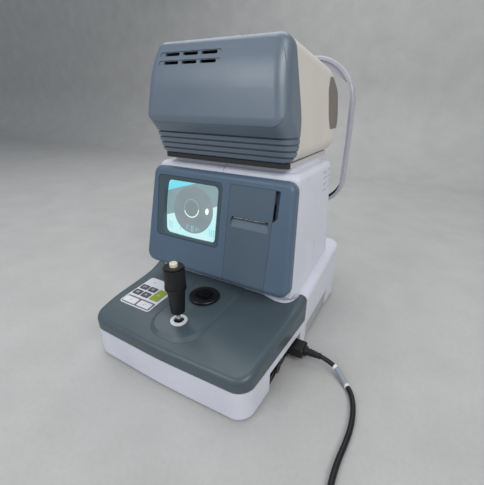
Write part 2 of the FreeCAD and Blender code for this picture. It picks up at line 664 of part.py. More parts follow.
def raised_pad():
    """Round-nosed platform on the deck that carries the joystick and the lock knob."""
    left, right, front = PAD
    return prism([(left, -60, 0), (left, front, 30), (right, front, 34), (right + 3, -60, 0)], 60, 110)


@node("deck_cover")
def deck_cover():
    deck = skirt().common(deck_region())
    pad = raised_pad().common(body_profile(PAD_RISE))
    lip = edges_where(pad, lambda e: e.BoundBox.ZMin > 72 and e.BoundBox.YMin < -85)
    pad = pad.makeChamfer(PAD_RISE - 0.4, PAD_SLOPE, lip).common(deck_region())
    deck = deck.fuse(pad).removeSplitter()
    deck = deck.cut(skirt(WALL))
    above = tower(-GAP)
    below = above.translated(V(0, 0, -2 * GAP))
    centre = (0, JOYSTICK_Y)
    radius, bore, collar_top = COLLAR
    cuts = [rod(bore, (*centre, 60), (*centre, 100)),
            rod(radius + GAP, (*centre, collar_top - 2.3), (*centre, 100)),
            rod(4.0 + GAP, (0, LOCK_Y, 60), (0, LOCK_Y, 100)), rod(24.6, (0, LOCK_Y, 84.8), (0, LOCK_Y, 100)),
            above, below, keypad_zone(0.1).common(body_profile(1.0)).cut(body_profile(-0.8))]
    cuts += [key_block(name, GAP) for name in KEYS]
    return deck.cut(cuts)


@node("joystick_collar")
def joystick_collar():
    radius, bore, top = COLLAR
    collar = tube(radius, bore, (0, JOYSTICK_Y, top - 2.3), (0, JOYSTICK_Y, top))
    rim = edges_where(collar, lambda e: e.BoundBox.ZMin > top - 0.1 and e.Length > 60)
    return collar.makeFillet(0.8, rim)


@node("lock_knob")
def lock_knob():
    dial = rod(24.0, (0, LOCK_Y, 85.2), (0, LOCK_Y, 89.4))
    dial = dial.makeChamfer(1.0, edges_where(dial, lambda e: e.BoundBox.ZMin > 89.3 and e.Length > 60))
    dial = dial.cut(rod(15.0, (0, LOCK_Y, 87.6), (0, LOCK_Y, 95)))
    ribs = [box(x - 1.1, x + 1.1, LOCK_Y - 9, LOCK_Y + 9, 87.0, 92.2) for x in (-9, -4.5, 0, 4.5, 9)]
    shaft = rod(4.0, (0, LOCK_Y, 62), (0, LOCK_Y, 86))
    return joined([dial, shaft] + ribs)


@node("keypad_plate")
def keypad_plate():
    plate = keypad_zone().common(body_profile(0.8)).cut(body_profile(-0.8))
    return plate.cut([key_block(name, GAP) for name in KEYS])


def key(name):
    return key_block(name).common(body_profile(1.7)).cut(body_profile(-2.8))


def vent_slots(side):
    """Two columns of four slots near the upper rear of one side of the tower."""
    slots = []
    for column in range(2):
        for row in range(4):
            slot = rounded_box(-9.0, 9.0, -1.1, 1.1, 0, 60, 1.0)
            slot.rotate(V(0, 0, 0), Z_AXIS, 4)
            slot.rotate(V(0, 0, 0), V(1, 1, 1), 120)
            slot.translate(V(side * 125 - 30, 59 + 25 * column, 264.5 - 9.5 * row + 1.5 * column))
            slots.append(slot)
    return slots


@node("body_cover")
def body_cover():
    outer = joined([skirt().cut(deck_region(0.4)), tower()])
    inner = joined([skirt(WALL), tower(WALL)])
    half, front, rear = NECK
    collar = rounded_box(-half, half, front, rear, TOWER_TOP - 1, NECK_TOP, 12)
    cover = outer.cut(inner).fuse(collar)
    throat = rounded_box(-98, 98, front + 4, 86, 200, 300, 8)
    seam = box(-0.4, 0.4, -90, front + 2, 262, 300)
    screen = on_panel(box(SCREEN[0], SCREEN[1], SCREEN[2], SCREEN[3], -60, 0))
    printer = on_panel(box(DOOR[0] + 2, DOOR[1] - 2, 16, DOOR[2] - 20, -60, 0))
    hatch = box(115, 140, 9.0, 10.0, 126, 164)
    slots = vent_slots(1) + vent_slots(-1)
    return cover.cut([throat, seam, screen, printer, hatch] + slots)


def panel_block(inset=0.0):
    """Front panel as a block in panel coordinates, its face edges rounded."""
    low = PANEL_HALF_LOW - inset
    high = PANEL_HALF_TOP - inset
    corners = [(-low, inset, 16 - inset), (low, inset, 16 - inset), (high, PANEL_LENGTH - inset, 15 - inset),
               (-high, PANEL_LENGTH - inset, 15 - inset)]
    block = prism(corners, -PANEL_DEPTH - (1 if inset else 0), -inset)
    face = edges_where(block, lambda e: e.BoundBox.ZMin > -inset - 0.1)
    return block.makeFillet(8.0 - inset, face)


def notch(grow, z0, z1):
    """Finger notch beside the printer door, its lower end slanting out."""
    x0 = DOOR[1] + 0.5 if grow else DOOR[1] - 1
    x1 = DOOR[1] + NOTCH[0] + grow
    return prism([(x0, 104 - grow, 0), (x1, 112 - grow, 2), (x1, DOOR[2] + grow, 2), (x0, DOOR[2] + grow, 0)],
                 z0, z1)


@node("display_bezel")
def display_bezel():
    shell = panel_block().cut(panel_block(WALL))
    opening = rounded_box(SCREEN[0], SCREEN[1], SCREEN[2], SCREEN[3], -30, 5, 7)
    door = box(DOOR[0] - 0.4, DOOR[1] + 0.4, -5, DOOR[2] + 0.4, -30, 5)
    depth = NOTCH[1]
    shell = shell.fuse(notch(2.0, -depth - 2, -WALL + 0.5)).cut([opening, door, notch(0.0, -depth, 5)])
    return on_panel(shell)


def opening_outline(edges, radius, depth, inset=0.0):
    """Rounded rectangular wire at a depth under the panel's face."""
    x0, x1, s0, s1 = edges
    return outline([(x0 + inset, s0 + inset, radius), (x1 - inset, s0 + inset, radius),
                    (x1 - inset, s1 - inset, radius), (x0 + inset, s1 - inset, radius)], -depth)


@node("screen_hood")
def screen_hood():
    """Flat ring round the display that falls a little inwards, then a well down to the tube."""
    bottom = TUBE_DEPTH + 8.6
    outer = Part.Face(opening_outline(SCREEN, 6.4, bottom, 0.6)).extrude(V(0, 0, bottom - 0.6))
    mouth = opening_outline(SCREEN, 5.5, 0.5, 1.6)
    ring = Part.makeLoft([opening_outline(WELL, 8, WELL_RIM), mouth], True, True)
    well = Part.makeLoft([opening_outline(TUBE_FACE, 8, TUBE_DEPTH), opening_outline(WELL, 8, WELL_RIM)],
                         True, True)
    throat = Part.Face(opening_outline(TUBE_FACE, 8, bottom + 1)).extrude(V(0, 0, bottom + 1 - TUBE_DEPTH))
    return on_panel(outer.cut(ring).cut(well).cut(throat))


@node("crt_face")
def crt_face():
    """Bulged glass face of the picture tube."""
    x, s = CRT
    fx0, fx1, fs0, fs1 = TUBE_FACE
    back = -TUBE_DEPTH - 9.4
    dome = rounded_box(fx0 + 0.5, fx1 - 0.5, fs0 + 0.5, fs1 - 0.5, back, -TUBE_DEPTH, 7.5)
    dome = dome.common(Part.makeSphere(TUBE_BULGE, V(x, s, -TUBE_DEPTH - 0.7 - TUBE_BULGE)))
    flange = rounded_box(x - 53, x + 53, s - 46, s + 46, back - 13, back + 0.4, 12)
    return on_panel(dome.fuse(flange).removeSplitter())


@node("crt_funnel")
def crt_funnel():
    """Back of the picture tube with its deflection yoke and socket board."""
    x, s = CRT
    back = -TUBE_DEPTH - 22.4
    wide = outline([(x - 50, s - 42, 12), (x + 50, s - 42, 12), (x + 50, s + 42, 12), (x - 50, s + 42, 12)],
                   back)
    narrow = outline([(x - 12, s - 12, 11), (x + 12, s - 12, 11), (x + 12, s + 12, 11), (x - 12, s + 12, 11)],
                     back - 58)
    funnel = Part.makeLoft([wide, narrow], True, True)
    neck = rod(11.0, (x, s, back - 58), (x, s, back - 106))
    yoke = rod(24.0, (x, s, back - 94), (x, s, back - 62))
    board = box(x - 26, x + 26, s - 26, s + 26, back - 109.2, back - 107.5)
    socket = rod(12.0, (x, s, back - 107.5), (x, s, back - 106))
    return on_panel(joined([funnel, neck, yoke, board, socket]))


def door_block(grow=0.0):
    return box(DOOR[0] - grow, DOOR[1] + grow, -5, DOOR[2] + grow, -30, 5)


@node("printer_door")
def printer_door():
    skin = panel_block().cut(panel_block(WALL)).common(door_block())
    skin = skin.cut(box(0, 120, -5, 30, -40, -6.5))
    x0, x1, s = SLOT
    slot = box(x0, x1, s, s + 3.4, -9, 5)
    backing = box(DOOR[0] + 3, DOOR[1] - 3, s - 15, s + 1, -5.2, -WALL + 0.5)
    scoop = across([(s - 12, 1, 0), (s - 12, -0.2, 0), (s - 1.5, -3.6, 0), (s + 0.5, -3.6, 0),
                    (s + 0.5, 1, 0)], x0 - 1.5, x1 + 1.5)
    cheeks = []
    for x in (DOOR[0] + 2, DOOR[1] - 5):
        cheek = box(x, x + 3, PLATEN_CENTRE[0] - 9, PLATEN_CENTRE[0] + 9, PLATEN_CENTRE[1] - 6, -WALL)
        cheeks.append(cheek)
    shaft = rod(1.8 + FIT, (DOOR[0], *PLATEN_CENTRE), (DOOR[1], *PLATEN_CENTRE))
    door = joined([skin, backing] + cheeks).cut([slot, scoop, shaft])
    return on_panel(door)


@node("platen_roller")
def platen_roller():
    roller = rod(5.0, (31, *PLATEN_CENTRE), (87, *PLATEN_CENTRE))
    shaft = rod(1.8, (DOOR[0] + 2.2, *PLATEN_CENTRE), (DOOR[1] - 2.2, *PLATEN_CENTRE))
    return on_panel(roller.fuse(shaft))


@node("printer_bucket")
def printer_bucket():
    outer = box(27, 93, 22, 112, -64, -7)
    cavity = box(30, 90, 26, 108, -61, 0)
    spindle = rod(6.0, (30, *ROLL_CENTRE), (90, *ROLL_CENTRE))
    head = box(32, 88, 96, 104, -32, -17.5)
    bar = box(30, 90, 97, 103, -36, -32)
    notches = [box(x, x + 5, 86, 114, -20, 0) for x in (26, 89)]
    return on_panel(joined([outer.cut([cavity] + notches), spindle, head, bar]))


@node("paper_roll")
def paper_roll():
    return on_panel(tube(20.0, 6.0 + FIT, (31.5, *ROLL_CENTRE), (88.5, *ROLL_CENTRE)))


@node("main_board")
def main_board():
    board = box(-113, -111.4, -30, 84, 100, 232)
    chips = [box(-111.4, -108.9, y, y + 16, z, z + 16) for y in (-20, 12, 50) for z in (112, 150, 190)]
    return joined([board] + chips)


@node("lift_motor")
def lift_motor():
    body = box(-21, 21, LIFT_SCREW_Y - 21, LIFT_SCREW_Y + 21, CHASSIS_Z[1], 125)
    return body.makeChamfer(4, edges_where(body, lambda e: e.BoundBox.ZLength > 30))


@node("lift_screw")
def lift_screw():
    screw = rod(5.0, (0, LIFT_SCREW_Y, 126), (0, LIFT_SCREW_Y, 282))
    grooves = [tube(6.0, 4.3, (0, LIFT_SCREW_Y, z), (0, LIFT_SCREW_Y, z + 1.2)) for z in range(140, 232, 4)]
    flange = rod(9.0, (0, LIFT_SCREW_Y, 126), (0, LIFT_SCREW_Y, 130))
    return screw.cut(grooves).fuse(flange)


# ---- measuring head ---------------------------------------------------------------------------------
@node("head_front_cover")
def head_front_cover():
    """Dark front of the head: raised face with two rows of vents, and ribs round its lower part."""
    block = head_block().common(head_split())
    grooves = [box(-130, 130, -130, 0, z - 1.3, z + 1.3).cut(head_block(1.6)) for z in HEAD_RIBS]
    plate = along(mirrored([(107.5, 340, 16), (105.5, 386, 60), (92, 432, 20)]), -130, -60)
    cover = block.fuse(head_block(0.0, 1.8).common(plate)).cut(grooves)
    cover = cover.cut(head_block(2.8))
    slots = []
    groove_start = VENT_START - 8
    groove_end = VENT_START + 2 * VENT_PITCH + VENT_LENGTH + 7
    for z in HEAD_VENTS:
        groove = along([(groove_start, z - 3.0, 2.9), (groove_end, z - 3.0, 2.9), (groove_end, z + 3.0, 2.9),
                        (groove_start, z + 3.0, 2.9)], -130, -40)
        slots.append(groove.cut(head_block(0.0, 0.8)))
        for i in range(3):
            x = VENT_START + VENT_PITCH * i
            slots.append(along([(x, z - 1.9, 1.8), (x + VENT_LENGTH, z - 1.9, 1.8),
                                (x + VENT_LENGTH, z + 1.9, 1.8), (x, z + 1.9, 1.8)], -130, -40))
    return cover.cut(slots)


@node("head_shell")
def head_shell():
    shell = head_block().cut(head_split(0.35)).cut(head_block(2.8))
    window = along([(-34, OPTIC_Z - 34, 8), (34, OPTIC_Z - 34, 8), (34, OPTIC_Z + 34, 8),
                    (-34, OPTIC_Z + 34, 8)], 120, 200)
    return shell.cut([window, wrap_zone(0.2)])


def wrap_zone(grow=0.0):
    """Where the patient's side panel lies: the rear face and a rounded flap round each side."""
    flap = across([(79 - grow, 346 - grow, 14), (86 - grow, 328 - grow, 6), (190, 328 - grow, 0),
                   (190, 404 + grow, 0), (90 - grow, 404 + grow, 6), (79 - grow, 386 + grow, 14)], -130, 130)
    return flap.cut(head_block(1.2 + grow))


@node("patient_panel")
def patient_panel():
    panel = head_block().common(wrap_zone())
    bore = rod(27.0, (0, 120, OPTIC_Z), (0, 200, OPTIC_Z))
    return panel.cut(bore)


@node("head_base")
def head_base():
    """Floor of the head with the sleeves that run on the guide rods and the nut of the lift screw."""
    base = rounded_box(-106.0, 106.0, -67, 108, HEAD_BASE_BOTTOM, HEAD_BOTTOM - GAP, 10)
    x, y, radius = LIFT_ROD
    sleeves = [tube(radius + 4, radius + FIT, (side * x, y, 215), (side * x, y, HEAD_BASE_BOTTOM))
               for side in (-1, 1)]
    nut = tube(10.0, 5.0 + FIT, (0, LIFT_SCREW_Y, 235), (0, LIFT_SCREW_Y, HEAD_BASE_BOTTOM))
    return joined([base] + sleeves + [nut])


@node("neck_sleeve")
def neck_sleeve():
    front = NECK[1] + 5.5
    outer = rounded_box(-97, 97, front, 84.5, 255, HEAD_BASE_BOTTOM, 7)
    return outer.cut(rounded_box(-94.5, 94.5, front + 2.5, 82, 250, 290, 5))


@node("optical_bench")
def optical_bench():
    bench = rounded_box(-60, 60, -50, 104, 300, 306, 6)
    legs = [box(x - 8, x + 8, y - 8, y + 8, HEAD_BOTTOM + 2.9, 300) for x in (-50, 50) for y in (-30, 88)]
    cradle = box(-16, 16, 70, 90, 306, OPTIC_Z - 17.5)
    return joined([bench, cradle] + legs)


@node("measuring_camera")
def measuring_camera():
    """Camera on its post with the objective barrel in front of it."""
    barrel = tube(18.0, 14.0, (0, 10, OPTIC_Z), (0, 140, OPTIC_Z))
    barrel = barrel.cut(box(-20, 20, 69, 91, 300, OPTIC_Z - 17.5))
    body = box(-20, 20, -30, 10, OPTIC_Z - 20, OPTIC_Z + 20)
    post = box(-8, 8, -18, -2, 306, OPTIC_Z - 20)
    return joined([body, barrel, post])


@node("optics_glass")
def optics_glass():
    """Objective lens in the barrel and the flat window in front of it."""
    lens = rod(13.9, (0, 128, OPTIC_Z), (0, 136, OPTIC_Z)).common(Part.makeSphere(40, V(0, 97.5, OPTIC_Z)))
    window = rod(26.5, (0, 149.2, OPTIC_Z), (0, 151.2, OPTIC_Z))
    return group([lens, window])


@node("mire_ring")
def mire_ring():
    return tube(26.5, 19.0, (0, 143, OPTIC_Z), (0, 149, OPTIC_Z))


# ---- mains lead -------------------------------------------------------------------------------------
@node("cord_connector")
def cord_connector():
    """Moulded connector in the inlet, its tapering ribbed strain relief pointing out of the recess."""
    nose = box(CONNECTOR_NOSE, RECESS_X + 2, INLET_Y - 12, INLET_Y + 12, INLET_Z - 8, INLET_Z + 8)
    moulding = PLUG_END - RECESS_X - 1
    body = rounded_box(INLET_Y - 13, INLET_Y + 13, INLET_Z - 8.5, INLET_Z + 8.5, 0, moulding, 4)
    body.rotate(V(0, 0, 0), V(1, 1, 1), 120)
    body.translate(V(RECESS_X + 1, 0, 0))
    rim = edges_where(body, lambda e: e.BoundBox.XMin > PLUG_END - 0.1)
    body = body.makeFillet(3.0, rim)
    sockets = []
    for across_offset, up_offset in PIN_SPOTS:
        y = INLET_Y + across_offset
        z = INLET_Z + up_offset
        sockets.append(box(CONNECTOR_NOSE - 1, RECESS_X - 2.5, y - 1.3, y + 1.3, z - 2.3, z + 2.3))
    flange = rod(8.2, (PLUG_END, INLET_Y, INLET_Z), (PLUG_END + 3.0, INLET_Y, INLET_Z))
    length = RELIEF_END - PLUG_END - 3.0
    relief = Part.makeCone(6.4, 4.4, length, V(PLUG_END + 3.0, INLET_Y, INLET_Z), X_AXIS)
    slots = []
    for i in range(4):
        x = PLUG_END + 5.5 + 4.4 * i
        slots.append(tube(9.0, 5.2 - 0.36 * i, (x, INLET_Y, INLET_Z), (x + 1.7, INLET_Y, INLET_Z)))
    return joined([nose.cut(sockets), body, flange, relief.cut(slots)])


def cord_run(points):
    """Tube of the lead's section along straight runs joined by tangent arcs."""
    corners = [V(*point) for point in points]
    runs = [corners[i + 1].sub(corners[i]) for i in range(len(corners) - 1)]
    edges = []
    previous = corners[0]
    length = 0.0
    for i in range(1, len(corners) - 1):
        back = V(runs[i - 1]).normalize().negative()
        ahead = V(runs[i]).normalize()
        half_turn = (math.pi - back.getAngle(ahead)) / 2
        reach = 0.45 * min(runs[i - 1].Length, runs[i].Length)
        radius = reach / math.tan(half_turn)
        print(f"cord corner {i}: turn {math.degrees(2 * half_turn):.0f} deg, radius {radius:.0f} mm")
        start = corners[i] + back * reach
        end = corners[i] + ahead * reach
        middle = (back + ahead).normalize() * (radius / math.cos(half_turn) - radius)
        edges.append(Part.LineSegment(previous, start).toShape())
        edges.append(Part.Arc(start, corners[i] + middle, end).toShape())
        length += previous.distanceToPoint(start) + 2 * half_turn * radius
        previous = end
    edges.append(Part.LineSegment(previous, corners[-1]).toShape())
    length += previous.distanceToPoint(corners[-1])
    path = Part.Wire(edges)
    section = Part.Wire(Part.makeCircle(CORD_R, corners[0], runs[0]))
    lead = path.makePipeShell([section], True, True)
    share = lead.Volume / (math.pi * CORD_R ** 2 * length)
    print(f"cord tube {length:.0f} mm long, volume / (section x length) = {share:.3f}")
    return lead


@node("power_cord")
def power_cord():
    return group([cord_run(ROUTE), rod(CORD_R, *TAIL)])


@node("cord_coil")
def cord_coil():
    """Outer form of the stored turns, which lie in two layers."""
    x, y = COIL_CENTRE
    outer, inner, height = COIL
    ring = tube(outer, inner, (x, y, 0), (x, y, height))
    return ring.makeFillet(3.0, edges_where(ring, lambda e: e.Length > 100 and e.BoundBox.ZLength < 0.1))


@node("mains_plug")
def mains_plug():
    x, y, z = TAIL[1]
    relief = Part.makeCone(4.4, 7.0, 18, V(x, y, z), V(-1, 0, 0))
    slots = [tube(9.0, 4.6 + 0.5 * i, (x - 3 - 4 * i, y, z), (x - 4.4 - 4 * i, y, z)) for i in range(4)]
    body = rounded_box(y - 13, y + 13, z - 12, z + 12, 0, 28, 5)
    body.rotate(V(0, 0, 0), V(1, 1, 1), 120)
    body.translate(V(x - 46, 0, 0))
    body = body.makeFillet(2.5, edges_where(body, lambda e: e.BoundBox.XLength < 0.1))
    blades = [box(x - 64, x - 45, y + offset - 0.8, y + offset + 0.8, z - 3, z + 3) for offset in (-6.4, 6.4)]
    earth = rod(2.4, (x - 67, y, z + 6.5), (x - 45, y, z + 6.5))
    return joined([relief.cut(slots), body, earth] + blades)


# ---- build and export -------------------------------------------------------------------------------
os.makedirs("parts", exist_ok=True)
for name in KEYS:
    NODES[name] = lambda which=name: key(which)
for name, build in NODES.items():
    shape = build()
    if not shape.isValid():
        print("invalid shape:", name)
    shape.exportStep(f"parts/{name}.step")
print(len(NODES), "parts written")
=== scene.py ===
import json
import math

import bmesh
import bpy
from mathutils import Matrix, Vector, noise


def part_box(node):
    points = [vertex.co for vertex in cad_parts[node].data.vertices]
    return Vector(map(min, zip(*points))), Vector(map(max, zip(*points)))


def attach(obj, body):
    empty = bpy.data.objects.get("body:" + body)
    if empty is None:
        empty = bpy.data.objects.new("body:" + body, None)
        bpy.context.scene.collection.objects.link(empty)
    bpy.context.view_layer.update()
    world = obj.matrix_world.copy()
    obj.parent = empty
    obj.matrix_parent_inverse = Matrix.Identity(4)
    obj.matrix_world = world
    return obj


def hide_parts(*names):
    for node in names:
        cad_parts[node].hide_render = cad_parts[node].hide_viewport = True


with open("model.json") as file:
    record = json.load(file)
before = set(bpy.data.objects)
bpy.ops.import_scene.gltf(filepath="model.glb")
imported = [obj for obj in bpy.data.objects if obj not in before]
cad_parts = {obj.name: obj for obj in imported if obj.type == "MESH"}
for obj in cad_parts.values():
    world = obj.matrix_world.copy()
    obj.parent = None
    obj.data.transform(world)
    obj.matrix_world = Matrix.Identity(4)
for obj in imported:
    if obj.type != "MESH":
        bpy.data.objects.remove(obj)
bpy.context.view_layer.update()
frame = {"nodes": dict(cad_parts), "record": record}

NODES = frame["nodes"]
MM = 0.001

# sloping front panel: lower edge at (PANEL_Y, PANEL_Z), leaning back by PANEL_LEAN
PANEL_LEAN = math.radians(11.2)
PANEL_Y = -108.9 * MM
PANEL_Z = 114.5 * MM


def on_panel(x, up, out):
    """A point given in millimetres across, up and out of the front panel."""
    y = PANEL_Y + up * MM * math.sin(PANEL_LEAN) - out * MM * math.cos(PANEL_LEAN)
    z = PANEL_Z + up * MM * math.cos(PANEL_LEAN) + out * MM * math.sin(PANEL_LEAN)
    return Vector((x * MM, y, z))


# ---- camera, light and floor ----------------------------------------------------------------------
CAMERA_PLACE = (0.2537, -0.4491, 0.3654)
CAMERA_TURN = (25.007, 28.409, 0.8895)      # degrees down, left of +Y, and rolled
CAMERA_LENS = 22.86
CAMERA_SHIFT = (-0.0113, 0.0082)


def set_camera():
    pitch, yaw, roll = (math.radians(angle) for angle in CAMERA_TURN)
    level = Vector((-math.sin(yaw), math.cos(yaw), 0))
    forward = level * math.cos(pitch) - Vector((0, 0, math.sin(pitch)))
    right = Vector((math.cos(yaw), math.sin(yaw), 0))
    up = right.cross(forward)
    cam_right = right * math.cos(roll) + up * math.sin(roll)
    cam_up = up * math.cos(roll) - right * math.sin(roll)
    camera = bpy.data.objects.new("camera", bpy.data.cameras.new("camera"))
    bpy.context.scene.collection.objects.link(camera)
    turn = Matrix((cam_right, cam_up, -forward)).transposed().to_4x4()
    camera.matrix_world = Matrix.Translation(CAMERA_PLACE) @ turn
    camera.data.lens = CAMERA_LENS
    camera.data.shift_x, camera.data.shift_y = CAMERA_SHIFT
    camera.data.clip_start = 0.01
    bpy.context.scene.camera = camera


def area_light(name, place, target, size, power, colour=(1, 1, 1)):
    light = bpy.data.lights.new(name, "AREA")
    light.shape = "RECTANGLE"
    light.size, light.size_y = size
    light.energy = power
    light.color = colour
    lamp = bpy.data.objects.new(name, light)
    lamp.location = place
    lamp.rotation_euler = (Vector(target) - Vector(place)).to_track_quat("-Z", "Y").to_euler()
    bpy.context.scene.collection.objects.link(lamp)


FLOOR_SIDE = 9.0                            # half the floor's width
FLOOR_FRONT = -5.0
FLOOR_BEND = (1.3, 0.5)                     # where the floor starts to curve up behind, and how widely
WALL_TOP = 3.0
FLOOR_DROP = 0.0002                         # the floor lies this far under the feet
BEND_STEPS = 10


def make_floor():
    """Pale floor that curves up into a wall behind the instrument."""
    floor = bpy.data.objects.new("floor", bpy.data.meshes.new("floor"))
    bm = bmesh.new()
    bend, radius = FLOOR_BEND
    rows = [(FLOOR_FRONT, 0.0), (bend, 0.0)]
    for i in range(1, BEND_STEPS + 1):
        angle = math.radians(90 * i / BEND_STEPS)
        rows.append((bend + radius * math.sin(angle), radius - radius * math.cos(angle)))
    rows.append((bend + radius, WALL_TOP))
    lines = [[bm.verts.new((x, y, z - FLOOR_DROP)) for x in (-FLOOR_SIDE, FLOOR_SIDE)] for y, z in rows]
    for low, high in zip(lines, lines[1:]):
        bm.faces.new((low[0], low[1], high[1], high[0]))
    bm.to_mesh(floor.data)
    bm.free()
    for face in floor.data.polygons:
        face.use_smooth = True
    bpy.context.scene.collection.objects.link(floor)
    floor.data.materials.append(surface("floor_pale", (0.50, 0.50, 0.49), rough=0.6, grain=3.0, depth=0.05))


def set_light():
    bpy.context.scene.view_settings.view_transform = "Standard"
    world = bpy.data.worlds.new("studio")
    bpy.context.scene.world = world
    world.use_nodes = True
    world.node_tree.nodes["Background"].inputs["Color"].default_value = (0.80, 0.85, 0.92, 1)
    world.node_tree.nodes["Background"].inputs["Strength"].default_value = 0.42
    area_light("key", (1.5, -1.0, 1.7), (0.0, -0.05, 0.2), (1.3, 1.0), 22, (1.0, 0.98, 0.95))
    area_light("fill", (-0.65, -1.6, 1.35), (0.0, 0.0, 0.3), (1.0, 0.8), 9, (0.95, 0.97, 1.0))
    area_light("top", (-0.5, 0.6, 1.9), (0.0, 0.0, 0.2), (1.8, 1.6), 18)


# ---- materials ------------------------------------------------------------------------------------
def link(tree, source, target):
    tree.links.new(source, target)


def texture(tree, scale, detail=3.0, rough=0.5, stretch=None):
    """Noise over the object's own coordinates; scale is the number of features per metre."""
    place = tree.nodes.new("ShaderNodeTexCoord").outputs["Object"]
    if stretch:
        mapping = tree.nodes.new("ShaderNodeMapping")
        mapping.inputs["Scale"].default_value = stretch
        link(tree, place, mapping.inputs["Vector"])
        place = mapping.outputs["Vector"]
    field = tree.nodes.new("ShaderNodeTexNoise")
    field.inputs["Scale"].default_value = scale
    field.inputs["Detail"].default_value = detail
    field.inputs["Roughness"].default_value = rough
    link(tree, place, field.inputs["Vector"])
    return field.outputs["Fac"]


def spread(tree, value, low, high, to_low, to_high):
    node = tree.nodes.new("ShaderNodeMapRange")
    node.inputs["From Min"].default_value = low
    node.inputs["From Max"].default_value = high
    node.inputs["To Min"].default_value = to_low
    node.inputs["To Max"].default_value = to_high
    link(tree, value, node.inputs["Value"])
    return node.outputs["Result"]


def blend_colour(tree, factor, first, second):
    node = tree.nodes.new("ShaderNodeMix")
    node.data_type = "RGBA"
    for socket, value in ((node.inputs[6], first), (node.inputs[7], second)):
        if isinstance(value, bpy.types.NodeSocket):
            link(tree, value, socket)
        else:
            socket.default_value = (*value, 1)
    link(tree, factor, node.inputs[0])
    return node.outputs[2]


def bump(tree, height, distance, strength=1.0, normal=None):
    node = tree.nodes.new("ShaderNodeBump")
    node.inputs["Distance"].default_value = distance
    node.inputs["Strength"].default_value = strength
    link(tree, height, node.inputs["Height"])
    if normal is not None:
        link(tree, normal, node.inputs["Normal"])
    return node.outputs["Normal"]


def start(name):
    material = bpy.data.materials.new(name)
    material.use_nodes = True
    return material, material.node_tree, material.node_tree.nodes["Principled BSDF"]


def shade(colour, factor):
    return tuple(min(1.0, c * factor) for c in colour)


def surface(name, colour, rough=0.45, grain=0.6, depth=0.03, metal=0.0, coat=0.0, brushed=None,
            wear=0.0, wear_colour=None, specular=0.5, front=None):
    """Moulded or painted surface: cloudy colour, uneven sheen, rubbed spots and grain.

    grain and depth are the grain's size and depth in millimetres;
    brushed = (x, y, z) squeezes the grain along each axis, so brush lines run along the smallest number;
    front = (y in metres, colour) gives everything in front of that plane another colour; it is used for
    painted shade.
    """
    material, tree, bsdf = start(name)
    cloud = texture(tree, 9.0, 5.0, 0.6)
    clouded = spread(tree, cloud, 0.3, 0.7, 0.0, 1.0)
    tint = blend_colour(tree, clouded, shade(colour, 0.93), shade(colour, 1.05))
    # painted shade: everything in front of the plane takes the darker colour
    if front:
        parts = tree.nodes.new("ShaderNodeSeparateXYZ")
        link(tree, tree.nodes.new("ShaderNodeTexCoord").outputs["Object"], parts.inputs[0])
        behind = spread(tree, parts.outputs["Y"], front[0], front[0] + 0.001, 0.0, 1.0)
        tint = blend_colour(tree, behind, front[1], tint)
    speckle = texture(tree, 1.0 / (grain * 2.2 * MM), 2.0, 0.6)
    tint = blend_colour(tree, spread(tree, speckle, 0.45, 0.62, 0.0, 0.12), tint, shade(colour, 0.72))
    if wear:
        rubbed = texture(tree, 60.0, 6.0, 0.72)
        tint = blend_colour(tree, spread(tree, rubbed, 0.60, 0.74, 0.0, wear), tint,
                            wear_colour or shade(colour, 1.35))
    link(tree, tint, bsdf.inputs["Base Color"])
    patches = texture(tree, 26.0, 6.0, 0.62)
    uneven = spread(tree, patches, 0.3, 0.7, max(rough - 0.07, 0.04), rough + 0.08)
    link(tree, uneven, bsdf.inputs["Roughness"])
    fine = texture(tree, 1.0 / (grain * MM), 2.5, 0.55, brushed)
    normal = bump(tree, fine, depth * MM)
    slow = texture(tree, 38.0, 2.0)
    link(tree, bump(tree, slow, 0.12 * MM, 0.6, normal), bsdf.inputs["Normal"])
    bsdf.inputs["Metallic"].default_value = metal
    bsdf.inputs["Coat Weight"].default_value = coat
    bsdf.inputs["Coat Roughness"].default_value = 0.12
    bsdf.inputs["Specular IOR Level"].default_value = specular
    return material


def srgb(r, g, b):
    """Linear colour of an 8-bit display colour."""
    return tuple((c / 255) ** 2.2 for c in (r, g, b))


